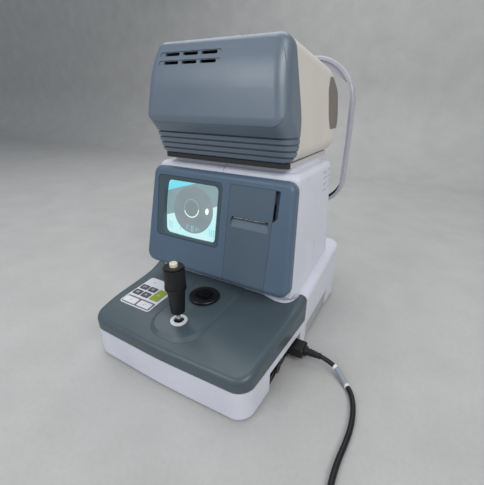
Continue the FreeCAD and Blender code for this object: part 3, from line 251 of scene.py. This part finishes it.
WHITE = srgb(227, 228, 240)
FINISHES = {
    "base_white": dict(colour=WHITE, rough=0.38, grain=0.5, depth=0.018, wear=0.10,
                       wear_colour=srgb(150, 148, 150)),
    "body_white": dict(colour=WHITE, rough=0.40, grain=0.5, depth=0.020),
    "white_plastic": dict(colour=srgb(232, 232, 236), rough=0.25, grain=0.4, depth=0.006),
    "deck_grey": dict(colour=srgb(78, 91, 98), rough=0.36, grain=0.45, depth=0.035, wear=0.10),
    "bezel_blue": dict(colour=srgb(88, 108, 129), rough=0.40, grain=0.45, depth=0.03),
    "door_blue": dict(colour=srgb(86, 102, 117), rough=0.44, grain=0.45, depth=0.035),
    "head_grey": dict(colour=srgb(104, 118, 132), rough=0.34, grain=0.45, depth=0.03, specular=0.8),
    "head_beige": dict(colour=srgb(224, 219, 209), rough=0.42, grain=0.5, depth=0.022),
    "patient_grey": dict(colour=srgb(128, 120, 114), rough=0.5, grain=0.5, depth=0.03),
    "headrest_paint": dict(colour=srgb(186, 184, 196), rough=0.30, grain=0.8, depth=0.01, coat=0.3,
                           wear=0.12, wear_colour=srgb(120, 118, 122)),
    "ring_grey": dict(colour=srgb(72, 88, 98), rough=0.44, grain=0.45, depth=0.03),
    # the strip in front of y = -60 mm is painted near-black: painted shade under the head's dark front, the
    # rest keeps the base's own light colour
    "base_black": dict(colour=srgb(206, 202, 200), rough=0.45, grain=0.4, depth=0.02,
                       front=(-0.060, srgb(26, 27, 30))),
    "hood_black": dict(colour=srgb(34, 36, 40), rough=0.55, grain=0.35, depth=0.03),
    "black_plastic": dict(colour=srgb(30, 30, 33), rough=0.42, grain=0.35, depth=0.025),
    "knob_black": dict(colour=srgb(26, 26, 28), rough=0.36, grain=0.3, depth=0.02, wear=0.14,
                       wear_colour=srgb(70, 70, 72)),
    "rocker_black": dict(colour=srgb(24, 24, 26), rough=0.2, grain=0.3, depth=0.006, coat=0.4),
    "foot_rubber": dict(colour=srgb(30, 30, 31), rough=0.8, grain=0.5, depth=0.06, specular=0.3),
    "pad_rubber": dict(colour=srgb(30, 30, 32), rough=0.72, grain=0.5, depth=0.05, specular=0.3),
    "lead_black": dict(colour=srgb(26, 26, 28), rough=0.42, grain=0.5, depth=0.02, wear=0.15,
                       wear_colour=srgb(62, 62, 64)),
    "button_cream": dict(colour=srgb(232, 224, 198), rough=0.3, grain=0.3, depth=0.006),
    "key_white": dict(colour=srgb(226, 226, 232), rough=0.3, grain=0.3, depth=0.008),
    "key_grey": dict(colour=srgb(84, 84, 92), rough=0.36, grain=0.3, depth=0.012),
    "key_green": dict(colour=srgb(150, 168, 50), rough=0.32, grain=0.3, depth=0.008),
    "keypad_film": dict(colour=srgb(226, 227, 234), rough=0.28, grain=0.3, depth=0.006),
    "chin_white": dict(colour=srgb(228, 227, 232), rough=0.28, grain=0.4, depth=0.006, coat=0.2),
    "mire_white": dict(colour=srgb(235, 234, 230), rough=0.4, grain=0.4, depth=0.01),
    "paper_white": dict(colour=srgb(240, 240, 236), rough=0.85, grain=0.3, depth=0.012, specular=0.2),
    "zinc_plate": dict(colour=(0.56, 0.57, 0.58), rough=0.34, grain=0.8, depth=0.01, metal=1.0, wear=0.2,
                       wear_colour=(0.40, 0.40, 0.40)),
    "rail_steel": dict(colour=(0.62, 0.62, 0.63), rough=0.22, grain=0.25, depth=0.004, metal=1.0,
                       brushed=(6, 6, 0.3)),
    "carriage_aluminium": dict(colour=(0.64, 0.65, 0.66), rough=0.34, grain=0.3, depth=0.008, metal=1.0,
                               brushed=(0.2, 6, 6)),
    "satin_plate": dict(colour=(0.66, 0.67, 0.69), rough=0.36, grain=0.3, depth=0.006, metal=0.9,
                        brushed=(6, 0.15, 6)),
    "slide_plate": dict(colour=srgb(40, 40, 43), rough=0.5, grain=0.3, depth=0.01, wear=0.3,
                        wear_colour=srgb(90, 90, 92)),
    "motor_black": dict(colour=srgb(32, 33, 36), rough=0.4, grain=0.35, depth=0.02),
    "board_green": dict(colour=srgb(34, 96, 58), rough=0.35, grain=1.2, depth=0.04, coat=0.5),
    "tube_glass": dict(colour=srgb(52, 52, 58), rough=0.3, grain=0.8, depth=0.01),
    "print_grey": dict(colour=srgb(104, 106, 112), rough=0.34, grain=0.3, depth=0.004),
    "print_pale": dict(colour=srgb(206, 208, 210), rough=0.34, grain=0.3, depth=0.004),
    "print_faint": dict(colour=srgb(178, 180, 186), rough=0.34, grain=0.3, depth=0.004),
    "sleeve_grey": dict(colour=srgb(150, 158, 168), rough=0.35, grain=0.3, depth=0.006),
    "sleeve_white": dict(colour=srgb(232, 232, 234), rough=0.35, grain=0.3, depth=0.006),
}

SCREEN_TINTS = {
    "picture_glow": dict(colour=srgb(176, 244, 250), far=srgb(226, 252, 252), strength=0.95),
    "picture_veil": dict(colour=srgb(138, 170, 176), far=srgb(160, 184, 188), strength=0.80),
    "picture_disc": dict(colour=srgb(136, 152, 158), far=srgb(160, 172, 178), strength=0.80),
    "picture_cyan": dict(colour=srgb(96, 218, 240), far=srgb(150, 236, 246), strength=0.95),
    "picture_white": dict(colour=srgb(236, 250, 250), far=srgb(246, 252, 252), strength=1.1),
    "picture_faint": dict(colour=srgb(168, 190, 192), far=srgb(178, 196, 196), strength=0.85),
    "picture_mark": dict(colour=srgb(112, 206, 220), far=srgb(132, 216, 226), strength=0.95),
}


def lit(name, colour, far, strength):
    """Glowing phosphor behind glass: a slow change of tint, fine scan lines and a clear glossy face."""
    material, tree, bsdf = start(name)
    slow = texture(tree, 14.0, 2.0)
    tint = blend_colour(tree, spread(tree, slow, 0.3, 0.7, 0.0, 1.0), colour, far)
    fine = texture(tree, 900.0, 1.0, 0.4, (0.2, 1.0, 1.0))
    tint = blend_colour(tree, spread(tree, fine, 0.45, 0.60, 0.0, 0.10), tint, shade(colour, 0.7))
    link(tree, tint, bsdf.inputs["Emission Color"])
    bsdf.inputs["Emission Strength"].default_value = strength
    link(tree, spread(tree, texture(tree, 40.0, 4.0), 0.3, 0.7, 0.05, 0.12), bsdf.inputs["Roughness"])
    link(tree, bump(tree, texture(tree, 60.0, 3.0), 0.02 * MM), bsdf.inputs["Normal"])
    bsdf.inputs["Base Color"].default_value = (0.02, 0.03, 0.03, 1)
    return material


def clear(name, colour, alpha, rough):
    """Clear coated glass with faint smears."""
    material, tree, bsdf = start(name)
    smear = texture(tree, 45.0, 6.0, 0.7, (1.0, 0.3, 1.0))
    link(tree, spread(tree, smear, 0.4, 0.75, rough, rough + 0.10), bsdf.inputs["Roughness"])
    slow = spread(tree, texture(tree, 20.0, 2.0), 0.3, 0.7, 0.0, 1.0)
    tint = blend_colour(tree, slow, colour, shade(colour, 0.8))
    link(tree, tint, bsdf.inputs["Base Color"])
    bsdf.inputs["Alpha"].default_value = alpha
    bsdf.inputs["Coat Weight"].default_value = 1.0
    bsdf.inputs["Coat Roughness"].default_value = 0.03
    return material


def paint(obj, material):
    obj.data.materials.clear()
    obj.data.materials.append(material)


def paint_nodes():
    made = {name: surface(name, **finish) for name, finish in FINISHES.items()}
    made.update((name, lit(name, **tint)) for name, tint in SCREEN_TINTS.items())
    made["screen_glass"] = clear("screen_glass", srgb(26, 40, 44), 1.0, 0.04)
    made["lens_glass"] = clear("lens_glass", srgb(120, 150, 160), 0.35, 0.03)
    for row in frame["record"]["subparts"]:
        paint(NODES[row["node"]], made[row["material_slot"]])
    return made


# ---- making pieces --------------------------------------------------------------------------------
def piece(name, bm, material, body):
    """Turn a bmesh into a shown piece that moves with a body."""
    mesh = bpy.data.meshes.new(name)
    bmesh.ops.recalc_face_normals(bm, faces=bm.faces)
    bm.to_mesh(mesh)
    bm.free()
    obj = bpy.data.objects.new(name, mesh)
    bpy.context.scene.collection.objects.link(obj)
    paint(obj, FINISH[material])
    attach(obj, body)
    return obj


def smooth(obj, angle=40):
    for face in obj.data.polygons:
        face.use_smooth = True
    obj.data.set_sharp_from_angle(angle=math.radians(angle))


def rounded(x0, x1, y0, y1, radius, steps=5):
    """Points of a rounded rectangle, counter-clockwise."""
    points = []
    for cx, cy, turn in ((x1 - radius, y0 + radius, -90), (x1 - radius, y1 - radius, 0),
                         (x0 + radius, y1 - radius, 90), (x0 + radius, y0 + radius, 180)):
        for i in range(steps + 1):
            angle = math.radians(turn + 90 * i / steps)
            points.append((cx + radius * math.cos(angle), cy + radius * math.sin(angle)))
    return points


def ellipse(x, y, rx, ry, count=48):
    return [(x + rx * math.cos(2 * math.pi * i / count), y + ry * math.sin(2 * math.pi * i / count))
            for i in range(count)]


def arc_band(x, y, inner, outer, start_angle, end_angle, count=24):
    """Outline of part of a ring between two angles in degrees."""
    angles = [math.radians(start_angle + (end_angle - start_angle) * i / count) for i in range(count + 1)]
    points = [(x + outer * math.cos(a), y + outer * math.sin(a)) for a in angles]
    return points + [(x + inner * math.cos(a), y + inner * math.sin(a)) for a in reversed(angles)]


def draped(name, outlines, lay, material, body, cell=6.0):
    """Thin patch: flat outlines in millimetres, cut into cells and laid on a curved face by lay(x, y)."""
    bm = bmesh.new()
    for points in outlines:
        bm.faces.new([bm.verts.new((x, y, 0)) for x, y in points])
    for axis in (0, 1):
        low = min(v.co[axis] for v in bm.verts)
        high = max(v.co[axis] for v in bm.verts)
        for i in range(1, int((high - low) / cell) + 1):
            point = Vector((0, 0, 0))
            point[axis] = low + i * cell
            normal = Vector((0, 0, 0))
            normal[axis] = 1
            everything = bm.verts[:] + bm.edges[:] + bm.faces[:]
            bmesh.ops.bisect_plane(bm, geom=everything, plane_co=point, plane_no=normal)
    bmesh.ops.triangulate(bm, faces=bm.faces)
    for vertex in bm.verts:
        vertex.co = lay(vertex.co.x, vertex.co.y)
    obj = piece(name, bm, material, body)
    smooth(obj, 60)
    return obj


# ---- picture on the display -----------------------------------------------------------------------
TUBE_CENTRE = (-47.8, 98.2)                 # middle of the display, across and up the panel
TUBE_BULGE = 320.0                          # radius of the bulged face
TUBE_FRONT = -5.2                           # its foremost point, out of the panel
TUBE_EDGE = (-98.1, 2.7, 54.9, 141.5)       # visible part: across from, to, up from, to
RING = (-45.0, 102.3)                       # middle of the reflected ring, across and up
RING_INNER = 13.1
RING_OUTER = 14.7


def on_tube(lift):
    """How a picture layer lies on the bulged face, lift millimetres proud of it."""
    def lay(x, up):
        reach = math.hypot(x - TUBE_CENTRE[0], up - TUBE_CENTRE[1])
        drop = TUBE_BULGE - math.sqrt(TUBE_BULGE ** 2 - reach ** 2)
        return on_panel(x, up, TUBE_FRONT - drop + lift)
    return lay


def layer(name, outlines, lift, material, cell=8.0):
    """One layer of the picture, lift millimetres proud of the tube."""
    draped(name, outlines, on_tube(lift), material, "main_body", cell)


def make_picture():
    """A live view of an eye: pupil disc, reflected ring, bright spot and a few plain marks."""
    x0, x1, s0, s1 = TUBE_EDGE
    layer("picture_glow", [rounded(x0, x1, s0, s1, 8, 8)], 0.05, "picture_glow")
    veil = [(x0 + 0.3, 83.6), (-79.6, 89.4), (-60, 96), (-20, 103), (-5.9, 109.5), (x1 - 0.2, 113),
            (x1 - 0.2, 133), (x1 - 3, s1 - 3), (x1 - 8, s1 - 0.2), (-41.6, s1 - 0.2), (x0 + 0.2, 124.2)]
    layer("picture_veil", [veil], 0.10, "picture_veil")
    corner = [(x0 + 0.3, 124.3), (-41.6, s1 - 0.2), (x0 + 8, s1 - 0.2), (x0 + 3, s1 - 3),
              (x0 + 0.4, s1 - 8)]
    layer("picture_corner", [corner], 0.14, "picture_cyan")
    layer("picture_disc", [ellipse(-43.4, 99.5, 37.7, 37.2, 72)], 0.18, "picture_disc")
    faint = arc_band(*RING, RING_INNER + 0.3, RING_OUTER - 0.3, -4, 204, 40)
    layer("picture_ring_faint", [faint], 0.22, "picture_faint")
    layer("picture_ring", [arc_band(*RING, RING_INNER, RING_OUTER, 202, 358, 36)], 0.24, "picture_white")
    layer("picture_spot", [ellipse(-16.2, 101.7, 3.1, 4.9, 32)], 0.24, "picture_white")
    make_picture_dots()
    make_picture_marks()


def make_picture_dots():
    """Row of faint dots along the underside of the ring."""
    reach = RING_OUTER + 2.1
    dots = []
    for i in range(9):
        angle = math.radians(200 + 17 * i)
        x = RING[0] + reach * math.cos(angle)
        up = RING[1] + reach * math.sin(angle)
        dots.append(ellipse(x, up, 0.6, 0.6, 8))
    layer("picture_dots", dots, 0.22, "picture_faint", 20)


# strokes low on the disc: across, up, half width, height
MARK_STROKES = ((-66.1, 67.5, 0.6, 8), (-52.5, 71, 0.7, 8), (-49.5, 74, 0.7, 2), (-43.5, 70, 0.7, 10),
                (-40.5, 70, 0.7, 10), (-34, 70, 0.7, 7), (-30, 71, 0.7, 3))
MARK_BLOCKS = (-91.4, -9.6)                 # across: where the blocks of small marks start
MARK_PITCH = (3.2, 3.0)


def make_picture_marks():
    """Plain strokes low on the disc, and a block of small marks in each lower corner."""
    marks = []
    for x, up, half, height in MARK_STROKES:
        marks.append(rounded(x - half, x + half, up - height / 2, up + height / 2, 0.5, 2))
    for left in MARK_BLOCKS:
        for column in range(3):
            for row in range(4):
                x = left + MARK_PITCH[0] * column
                up = 63.0 + MARK_PITCH[1] * row
                marks.append(rounded(x - 0.9, x + 0.9, up, up + 1.8, 0.4, 2))
    layer("picture_marks", marks, 0.26, "picture_mark", 20)


# ---- printing on the keypad -----------------------------------------------------------------------
FILM_BRIDGE = -86.5                         # across: where the film runs between the two front keys
PRINT_LIFT = 0.05                           # printing stands this far proud, in millimetres
FRAME_LIFT = 0.06
FRONT_KEYS = ("key_print", "key_menu")


def on_node(name, lift):
    """How a printed patch lies on the top of a CAD node, lift millimetres proud of it."""
    node = NODES[name]

    def lay(x, y):
        hit, place, _, _ = node.ray_cast(Vector((x * MM, y * MM, 1.0)), Vector((0, 0, -1)))
        if not hit:
            raise ValueError(f"{name} has no top at {x:.1f}, {y:.1f}")
        return place + Vector((0, 0, lift * MM))
    return lay


# strokes of the mark on each key, from its middle: x from, y from, x to, y to
KEY_MARKS = {
    "key_mode": [(-2.6, -2.0, 2.6, -1.0), (-2.6, -2.0, -1.6, 2.2), (1.6, -2.0, 2.6, 2.2),
                 (-1.0, 0.2, 1.0, 2.2)],
    "key_up": [(-3.0, -1.6, 3.0, -0.7), (-2.0, 0.2, 2.0, 1.1), (-0.6, 1.1, 0.6, 2.6)],
    "key_target": [(-2.6, -2.2, -0.6, -0.2), (0.6, -0.6, 2.8, 1.6), (-2.2, 1.0, -0.2, 2.6)],
    "key_down": [(-3.0, 0.8, 3.0, 1.7), (-2.0, -1.0, 2.0, -0.1), (-0.6, -2.4, 0.6, -1.0)],
    "key_start": [(-1.6, -2.4, 1.6, -1.4), (-1.6, 0.6, 1.6, 1.6), (-2.4, -1.4, -1.4, 0.6),
                  (1.4, -1.4, 2.4, 0.6)],
    "key_print": [(-2.6, -1.6, 2.6, -0.9), (-1.6, -0.4, 1.6, 0.4), (-0.5, 0.4, 0.5, 2.0)],
    "key_menu": [(-2.4, -1.8, -0.4, 0.2), (0.4, -0.2, 2.4, 1.8), (-2.4, 1.0, -0.9, 1.7)],
}

# strokes printed behind the keys: x from, x to, y from, y to
ICON_STROKES = ((-105, -99.4, -127.2, -126.2), (-104.4, -103.2, -125.6, -122.6),
                (-101.6, -99.4, -124.8, -123.6), (-84, -79, -126.6, -125.8), (-83.2, -80.4, -124.2, -122.8))


def make_keypad_marks():
    """Dark frame round the two front keys and a plain mark on every key."""
    outline = rounded(-116.2, -57.8, -186.4, -169.0, 3.5)
    draped("keypad_frame", [outline], on_film, "print_grey", "main_body", 4.0)
    for key, marks in KEY_MARKS.items():
        low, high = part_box(key)
        x = (low[0] + high[0]) / 2 / MM
        y = (low[1] + high[1]) / 2 / MM
        outlines = [rounded(x + a, x + c, y + b, y + d, 0.3, 2) for a, b, c, d in marks]
        ink = "print_faint" if key in FRONT_KEYS else "print_pale"
        draped(key + "_mark", outlines, on_node(key, PRINT_LIFT), ink, key + "_body", 20)
    icons = [rounded(*stroke, 0.3, 2) for stroke in ICON_STROKES]
    lay = on_node("keypad_plate", PRINT_LIFT)
    draped("keypad_icons", icons, lay, "print_faint", "main_body", 20)


def on_film(x, y):
    """The film's top, which is level across, and so is known over the openings of the keys too."""
    above = Vector((FILM_BRIDGE * MM, y * MM, 1.0))
    _, place, _, _ = NODES["keypad_plate"].ray_cast(above, Vector((0, 0, -1)))
    return Vector((x * MM, y * MM, place.z + FRAME_LIFT * MM))


# ---- paper in the printer -------------------------------------------------------------------------
SLOT = (32.5, 89.0, 102.0)                  # across from, to, height up the panel
PAPER_THICK = 0.12
PAPER_GRID = (40, 5)                        # columns across, rows from the slot to the torn edge
CUTTER_TEETH = 44
CUTTER_THICK = 0.4


def make_paper():
    """Torn end of the paper that shows in the slot, its right end curled up."""
    x0, x1, s = SLOT
    columns, rows = PAPER_GRID
    bm = bmesh.new()
    grid = []
    for i in range(columns + 1):
        share = i / columns
        x = x0 + 2 + (x1 - x0 - 3) * share
        curl = max(0.0, share - 0.72) / 0.28
        tear = 0.35 * noise.noise(Vector((x * 0.9, 3.1, 0.4)))
        line = []
        for j in range(rows + 1):
            reach = j / rows
            up = s + 1.9 + reach * (1.6 * curl ** 2 - 0.9 + tear)
            out = -4.0 + reach * (4.6 + 1.6 * curl ** 1.5)
            line.append(bm.verts.new(on_panel(x, up, out)))
        grid.append(line)
    for a, b in zip(grid, grid[1:]):
        for j in range(rows):
            bm.faces.new((a[j], b[j], b[j + 1], a[j + 1]))
    bmesh.ops.solidify(bm, geom=bm.faces[:], thickness=PAPER_THICK * MM)
    smooth(piece("paper_end", bm, "paper_white", "door"))


def make_cutter():
    """Bright toothed bar that the paper is torn against."""
    x0, x1, s = SLOT
    pitch = (x1 - x0) / CUTTER_TEETH
    bm = bmesh.new()
    for i in range(CUTTER_TEETH):
        a = x0 + pitch * i
        b = a + pitch
        tooth = [on_panel(a, s - 0.6, -3.3), on_panel(b, s - 0.6, -3.3), on_panel(b, s + 0.5, -1.5),
                 on_panel((a + b) / 2, s + 0.9, -1.1), on_panel(a, s + 0.5, -1.5)]
        bm.faces.new([bm.verts.new(point) for point in tooth])
    bmesh.ops.remove_doubles(bm, verts=bm.verts, dist=0.01 * MM)
    bmesh.ops.solidify(bm, geom=bm.faces[:], thickness=CUTTER_THICK * MM)
    piece("cutter_bar", bm, "rail_steel", "door")


# ---- headrest pads --------------------------------------------------------------------------------
PAD_RINGS = 14
PAD_AROUND = 72


def pad_point(middle, half, low_y, depth, inward, angle):
    """A point of the foam: inward runs from 0 at the rim to 1 in the middle, angle goes round."""
    c = math.cos(angle)
    s = math.sin(angle)
    crown = math.sqrt(max(0.0, 1 - (1 - inward) ** 2.4))
    groove = 0.10 * math.exp(-((inward - 0.22) / 0.05) ** 2)
    size = (abs(c) ** 5 + abs(s) ** 3) ** (-1 / 4)
    x = middle[0] + half[0] * (1 - inward) * math.copysign(min(1.0, size * abs(c)), c)
    z = middle[1] + half[1] * (1 - inward) * math.copysign(min(1.0, size * abs(s)), s)
    soft = 0.05 * noise.noise(Vector((x * 60, 0.3, z * 60)))
    return x, low_y + depth * min(1.0, 0.30 + 0.66 * crown - groove + soft), z


def make_forehead_pad():
    """Soft foam pad, crowned towards the patient, with a moulded rim."""
    low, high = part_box("forehead_pad")
    half = ((high[0] - low[0]) / 2, (high[2] - low[2]) / 2)
    middle = ((high[0] + low[0]) / 2, (high[2] + low[2]) / 2)
    angles = [2 * math.pi * i / PAD_AROUND for i in range(PAD_AROUND)]
    bm = bmesh.new()
    rings = []
    for k in range(PAD_RINGS + 1):
        ring = [pad_point(middle, half, low[1], high[1] - low[1], k / PAD_RINGS, angle) for angle in angles]
        rings.append([bm.verts.new(point) for point in ring])
    rings.insert(0, [bm.verts.new((v.co.x, low[1], v.co.z)) for v in rings[0]])
    for outer, inner in zip(rings, rings[1:]):
        for i in range(PAD_AROUND):
            j = (i + 1) % PAD_AROUND
            bm.faces.new((outer[i], outer[j], inner[j], inner[i]))
    bm.faces.new(rings[0])
    bmesh.ops.remove_doubles(bm, verts=bm.verts, dist=0.05 * MM)
    pad = piece("forehead_cushion", bm, "pad_rubber", "base")
    smooth(pad, 50)
    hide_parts("forehead_pad")


LOOP_CORNER = 50.0                          # outer radius of the loop's corners
LOOP_THICK = 6.5
LINER_HALF = 10.5                           # half the liner's width
LINER_SWELL = 4.2
LINER_SPAN = (-82, -8)                      # degrees round the corner, from its lowest point upwards
LINER_STEPS = 22
LINER_AROUND = 12


def make_corner_pads():
    """Black rubber liners inside the two lower corners of the headrest loop."""
    low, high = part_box("headrest_loop")
    middle_y = (low[1] + high[1]) / 2
    radius = (LOOP_CORNER - LOOP_THICK) * MM
    for side, name in ((1, "right"), (-1, "left")):
        centre = Vector((side * (high[0] - LOOP_CORNER * MM), 0, low[2] + LOOP_CORNER * MM))
        bm = bmesh.new()
        sections = []
        for i in range(LINER_STEPS + 1):
            share = i / LINER_STEPS
            angle = math.radians(LINER_SPAN[0] + (LINER_SPAN[1] - LINER_SPAN[0]) * share)
            swell = (LINER_SWELL * max(0.0, math.sin(math.pi * share)) ** 0.5 + 0.4) * MM
            outward = Vector((side * math.cos(angle), 0, math.sin(angle)))
            ring = []
            for j in range(LINER_AROUND):
                turn = 2 * math.pi * j / LINER_AROUND
                reach = radius - swell * (0.5 - 0.5 * math.sin(turn)) - 0.2 * MM
                point = centre + outward * reach
                ring.append(bm.verts.new((point.x, middle_y + LINER_HALF * MM * math.cos(turn), point.z)))
            sections.append(ring)
        for a, b in zip(sections, sections[1:]):
            for j in range(LINER_AROUND):
                k = (j + 1) % LINER_AROUND
                bm.faces.new((a[j], a[k], b[k], b[j]))
        bm.faces.new(sections[0])
        bm.faces.new(sections[-1])
        smooth(piece("loop_liner_" + name, bm, "pad_rubber", "base"))


# ---- mains lead -----------------------------------------------------------------------------------
CORD_RADIUS = 0.0035
CORD_ROUTE = [(0.1860, -0.0860, 0.0200), (0.2008, -0.0860, 0.0167), (0.2145, -0.0905, 0.0105),
              (0.2258, -0.1004, 0.0048), (0.2386, -0.1141, 0.0043), (0.2446, -0.1289, 0.0037),
              (0.2482, -0.1455, 0.0036), (0.2496, -0.1671, 0.0036), (0.2480, -0.1905, 0.0036),
              (0.2448, -0.2152, 0.0036), (0.2444, -0.2420, 0.0036), (0.2470, -0.2680, 0.0036),
              (0.2502, -0.2940, 0.0036), (0.2512, -0.3200, 0.0036)]
CORD_TAIL = [(0.1870, -0.3890, 0.0108), (0.1720, -0.3890, 0.0123)]
COIL_CENTRE = (0.2020, -0.3380)
COIL_PITCH = 0.0071
COIL_OUTER = 0.0492
COIL_LOW = 0.0036
COIL_HIGH = 0.0108
LOW_TURNS = 3.0
HIGH_TURNS = 3.25
TURN_POINTS = 16


def coil_points():
    """Turns from the outside in on the table, then from the inside out on top of them."""
    points = []
    inner = COIL_OUTER - LOW_TURNS * COIL_PITCH
    total = int((LOW_TURNS + HIGH_TURNS) * TURN_POINTS)
    for i in range(total + 1):
        turn = i / TURN_POINTS
        loose = 0.0005 * math.sin(2.3 * turn * math.pi + 0.8)
        radius = inner + COIL_PITCH * abs(turn - LOW_TURNS)
        climb = min(1.0, max(0.0, (turn - LOW_TURNS + 0.20) / 0.35))
        z = COIL_LOW + (COIL_HIGH - COIL_LOW) * climb * climb * (3 - 2 * climb)
        angle = -2 * math.pi * turn
        points.append((COIL_CENTRE[0] + (radius + loose) * math.cos(angle),
                       COIL_CENTRE[1] + (radius + loose) * math.sin(angle), z))
    return points


def lead_curve(name, points, bevel):
    """Smooth round curve that the given points steer."""
    curve = bpy.data.curves.new(name, "CURVE")
    curve.dimensions = "3D"
    spline = curve.splines.new("NURBS")
    spline.points.add(len(points) - 1)
    for point, place in zip(spline.points, points):
        point.co = (*place, 1)
    spline.order_u = 3
    spline.use_endpoint_u = True
    spline.resolution_u = 8
    curve.resolution_u = 8
    curve.bevel_depth = bevel
    curve.bevel_resolution = 6
    obj = bpy.data.objects.new(name, curve)
    bpy.context.scene.collection.objects.link(obj)
    return obj


def line_of(points):
    """Points read along the lead's own smooth line."""
    bare = lead_curve("lead_line", points, 0.0)
    mesh = bpy.data.meshes.new_from_object(bare)
    line = [vertex.co.copy() for vertex in mesh.vertices]
    bpy.data.objects.remove(bare)
    return line


def stretch_of(line, start_at, end_at, step):
    """Evenly spaced (point, direction, distance) along the line between two distances from its start."""
    found = []
    walked = 0.0
    target = start_at
    for a, b in zip(line, line[1:]):
        length = (b - a).length
        while target <= walked + length and target <= end_at:
            found.append((a.lerp(b, (target - walked) / length), (b - a).normalized(), target))
            target += step
        walked += length
    return found


SLEEVE_AROUND = 24


def sleeve_round(name, stations, radius_at, material):
    """Closed tube round the lead whose radius follows radius_at(distance, angle)."""
    bm = bmesh.new()
    rings = []
    for place, ahead, distance in stations:
        side = ahead.cross(Vector((0, 0, 1))).normalized()
        above = side.cross(ahead)
        ring = []
        for i in range(SLEEVE_AROUND):
            angle = 2 * math.pi * i / SLEEVE_AROUND
            radius = radius_at(distance, angle)
            ring.append(bm.verts.new(place + (side * math.cos(angle) + above * math.sin(angle)) * radius))
        rings.append(ring)
    for a, b in zip(rings, rings[1:]):
        for i in range(SLEEVE_AROUND):
            j = (i + 1) % SLEEVE_AROUND
            bm.faces.new((a[i], a[j], b[j], b[i]))
    bm.faces.new(rings[0])
    bm.faces.new(rings[-1])
    obj = piece(name, bm, material, "base")
    smooth(obj, 45)
    return obj


MARKER = (0.0215, 0.0575)                   # where the marker sleeve starts and ends along the lead
MARKER_END = 0.0042                         # length of each smooth end ring
MARKER_PITCH = 0.0024


def wound(distance, angle):
    """Radius of the spirally wound sleeve."""
    phase = 2 * math.pi * (distance - MARKER[0]) / MARKER_PITCH - angle
    return CORD_RADIUS + 0.00045 + 0.00020 * math.sin(phase)


def band(_distance, _angle):
    """Radius of the smooth rings at the sleeve's ends."""
    return CORD_RADIUS + 0.0007


def make_marker(line):
    """Grey wound sleeve on the lead between two white rings."""
    first, last = MARKER
    middle = stretch_of(line, first + MARKER_END, last - MARKER_END, 0.0003)
    made = [sleeve_round("marker_sleeve", middle, wound, "sleeve_grey")]
    for i, at in ((1, first), (2, last - MARKER_END)):
        stretch = stretch_of(line, at, at + MARKER_END, 0.0006)
        made.append(sleeve_round(f"marker_ring_{i}", stretch, band, "sleeve_white"))
    return made


def make_lead():
    points = CORD_ROUTE + coil_points() + CORD_TAIL
    lead = lead_curve("mains_lead", points, CORD_RADIUS)
    paint(lead, FINISH["lead_black"])
    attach(lead, "base")
    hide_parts("power_cord", "cord_coil")
    grey, *ends = make_marker(line_of(points))
    tie = make_tie()
    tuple(CORD_ROUTE[0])
    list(ends)


TIE_ANGLE = 150                             # degrees round the coil
TIE_REACH = 0.0390                          # middle of the turns, from the coil's centre
TIE_HALF = 0.0152
TIE_HEIGHTS = (0.0010, 0.0150)
TIE_EDGES = ((-0.0045, 0.0004), (-0.0040, 0.0), (0.0040, 0.0), (0.0045, 0.0004))    # along the lead, inset
TIE_THICK = 0.0008


def make_tie():
    """Strap that holds the stored turns together."""
    angle = math.radians(TIE_ANGLE)
    outward = Vector((math.cos(angle), math.sin(angle), 0))
    side = Vector((-outward.y, outward.x, 0))
    middle = Vector((*COIL_CENTRE, 0)) + outward * TIE_REACH
    low, high = TIE_HEIGHTS
    bm = bmesh.new()
    loops = []
    for offset, inset in TIE_EDGES:
        outline = rounded(inset - TIE_HALF, TIE_HALF - inset, low + inset, high - inset, 0.004, 5)
        centre = middle + side * offset
        loops.append([bm.verts.new(centre + outward * x + Vector((0, 0, z))) for x, z in outline])
    for a, b in zip(loops, loops[1:]):
        for i in range(len(a)):
            j = (i + 1) % len(a)
            bm.faces.new((a[i], a[j], b[j], b[i]))
    bmesh.ops.solidify(bm, geom=bm.faces[:], thickness=TIE_THICK)
    tie = piece("cord_tie", bm, "pad_rubber", "base")
    smooth(tie, 50)
    return tie


set_camera()
make_floor()
set_light()
FINISH = paint_nodes()
make_lead()
make_picture()
make_keypad_marks()
make_paper()
make_cutter()
make_forehead_pad()
make_corner_pads()
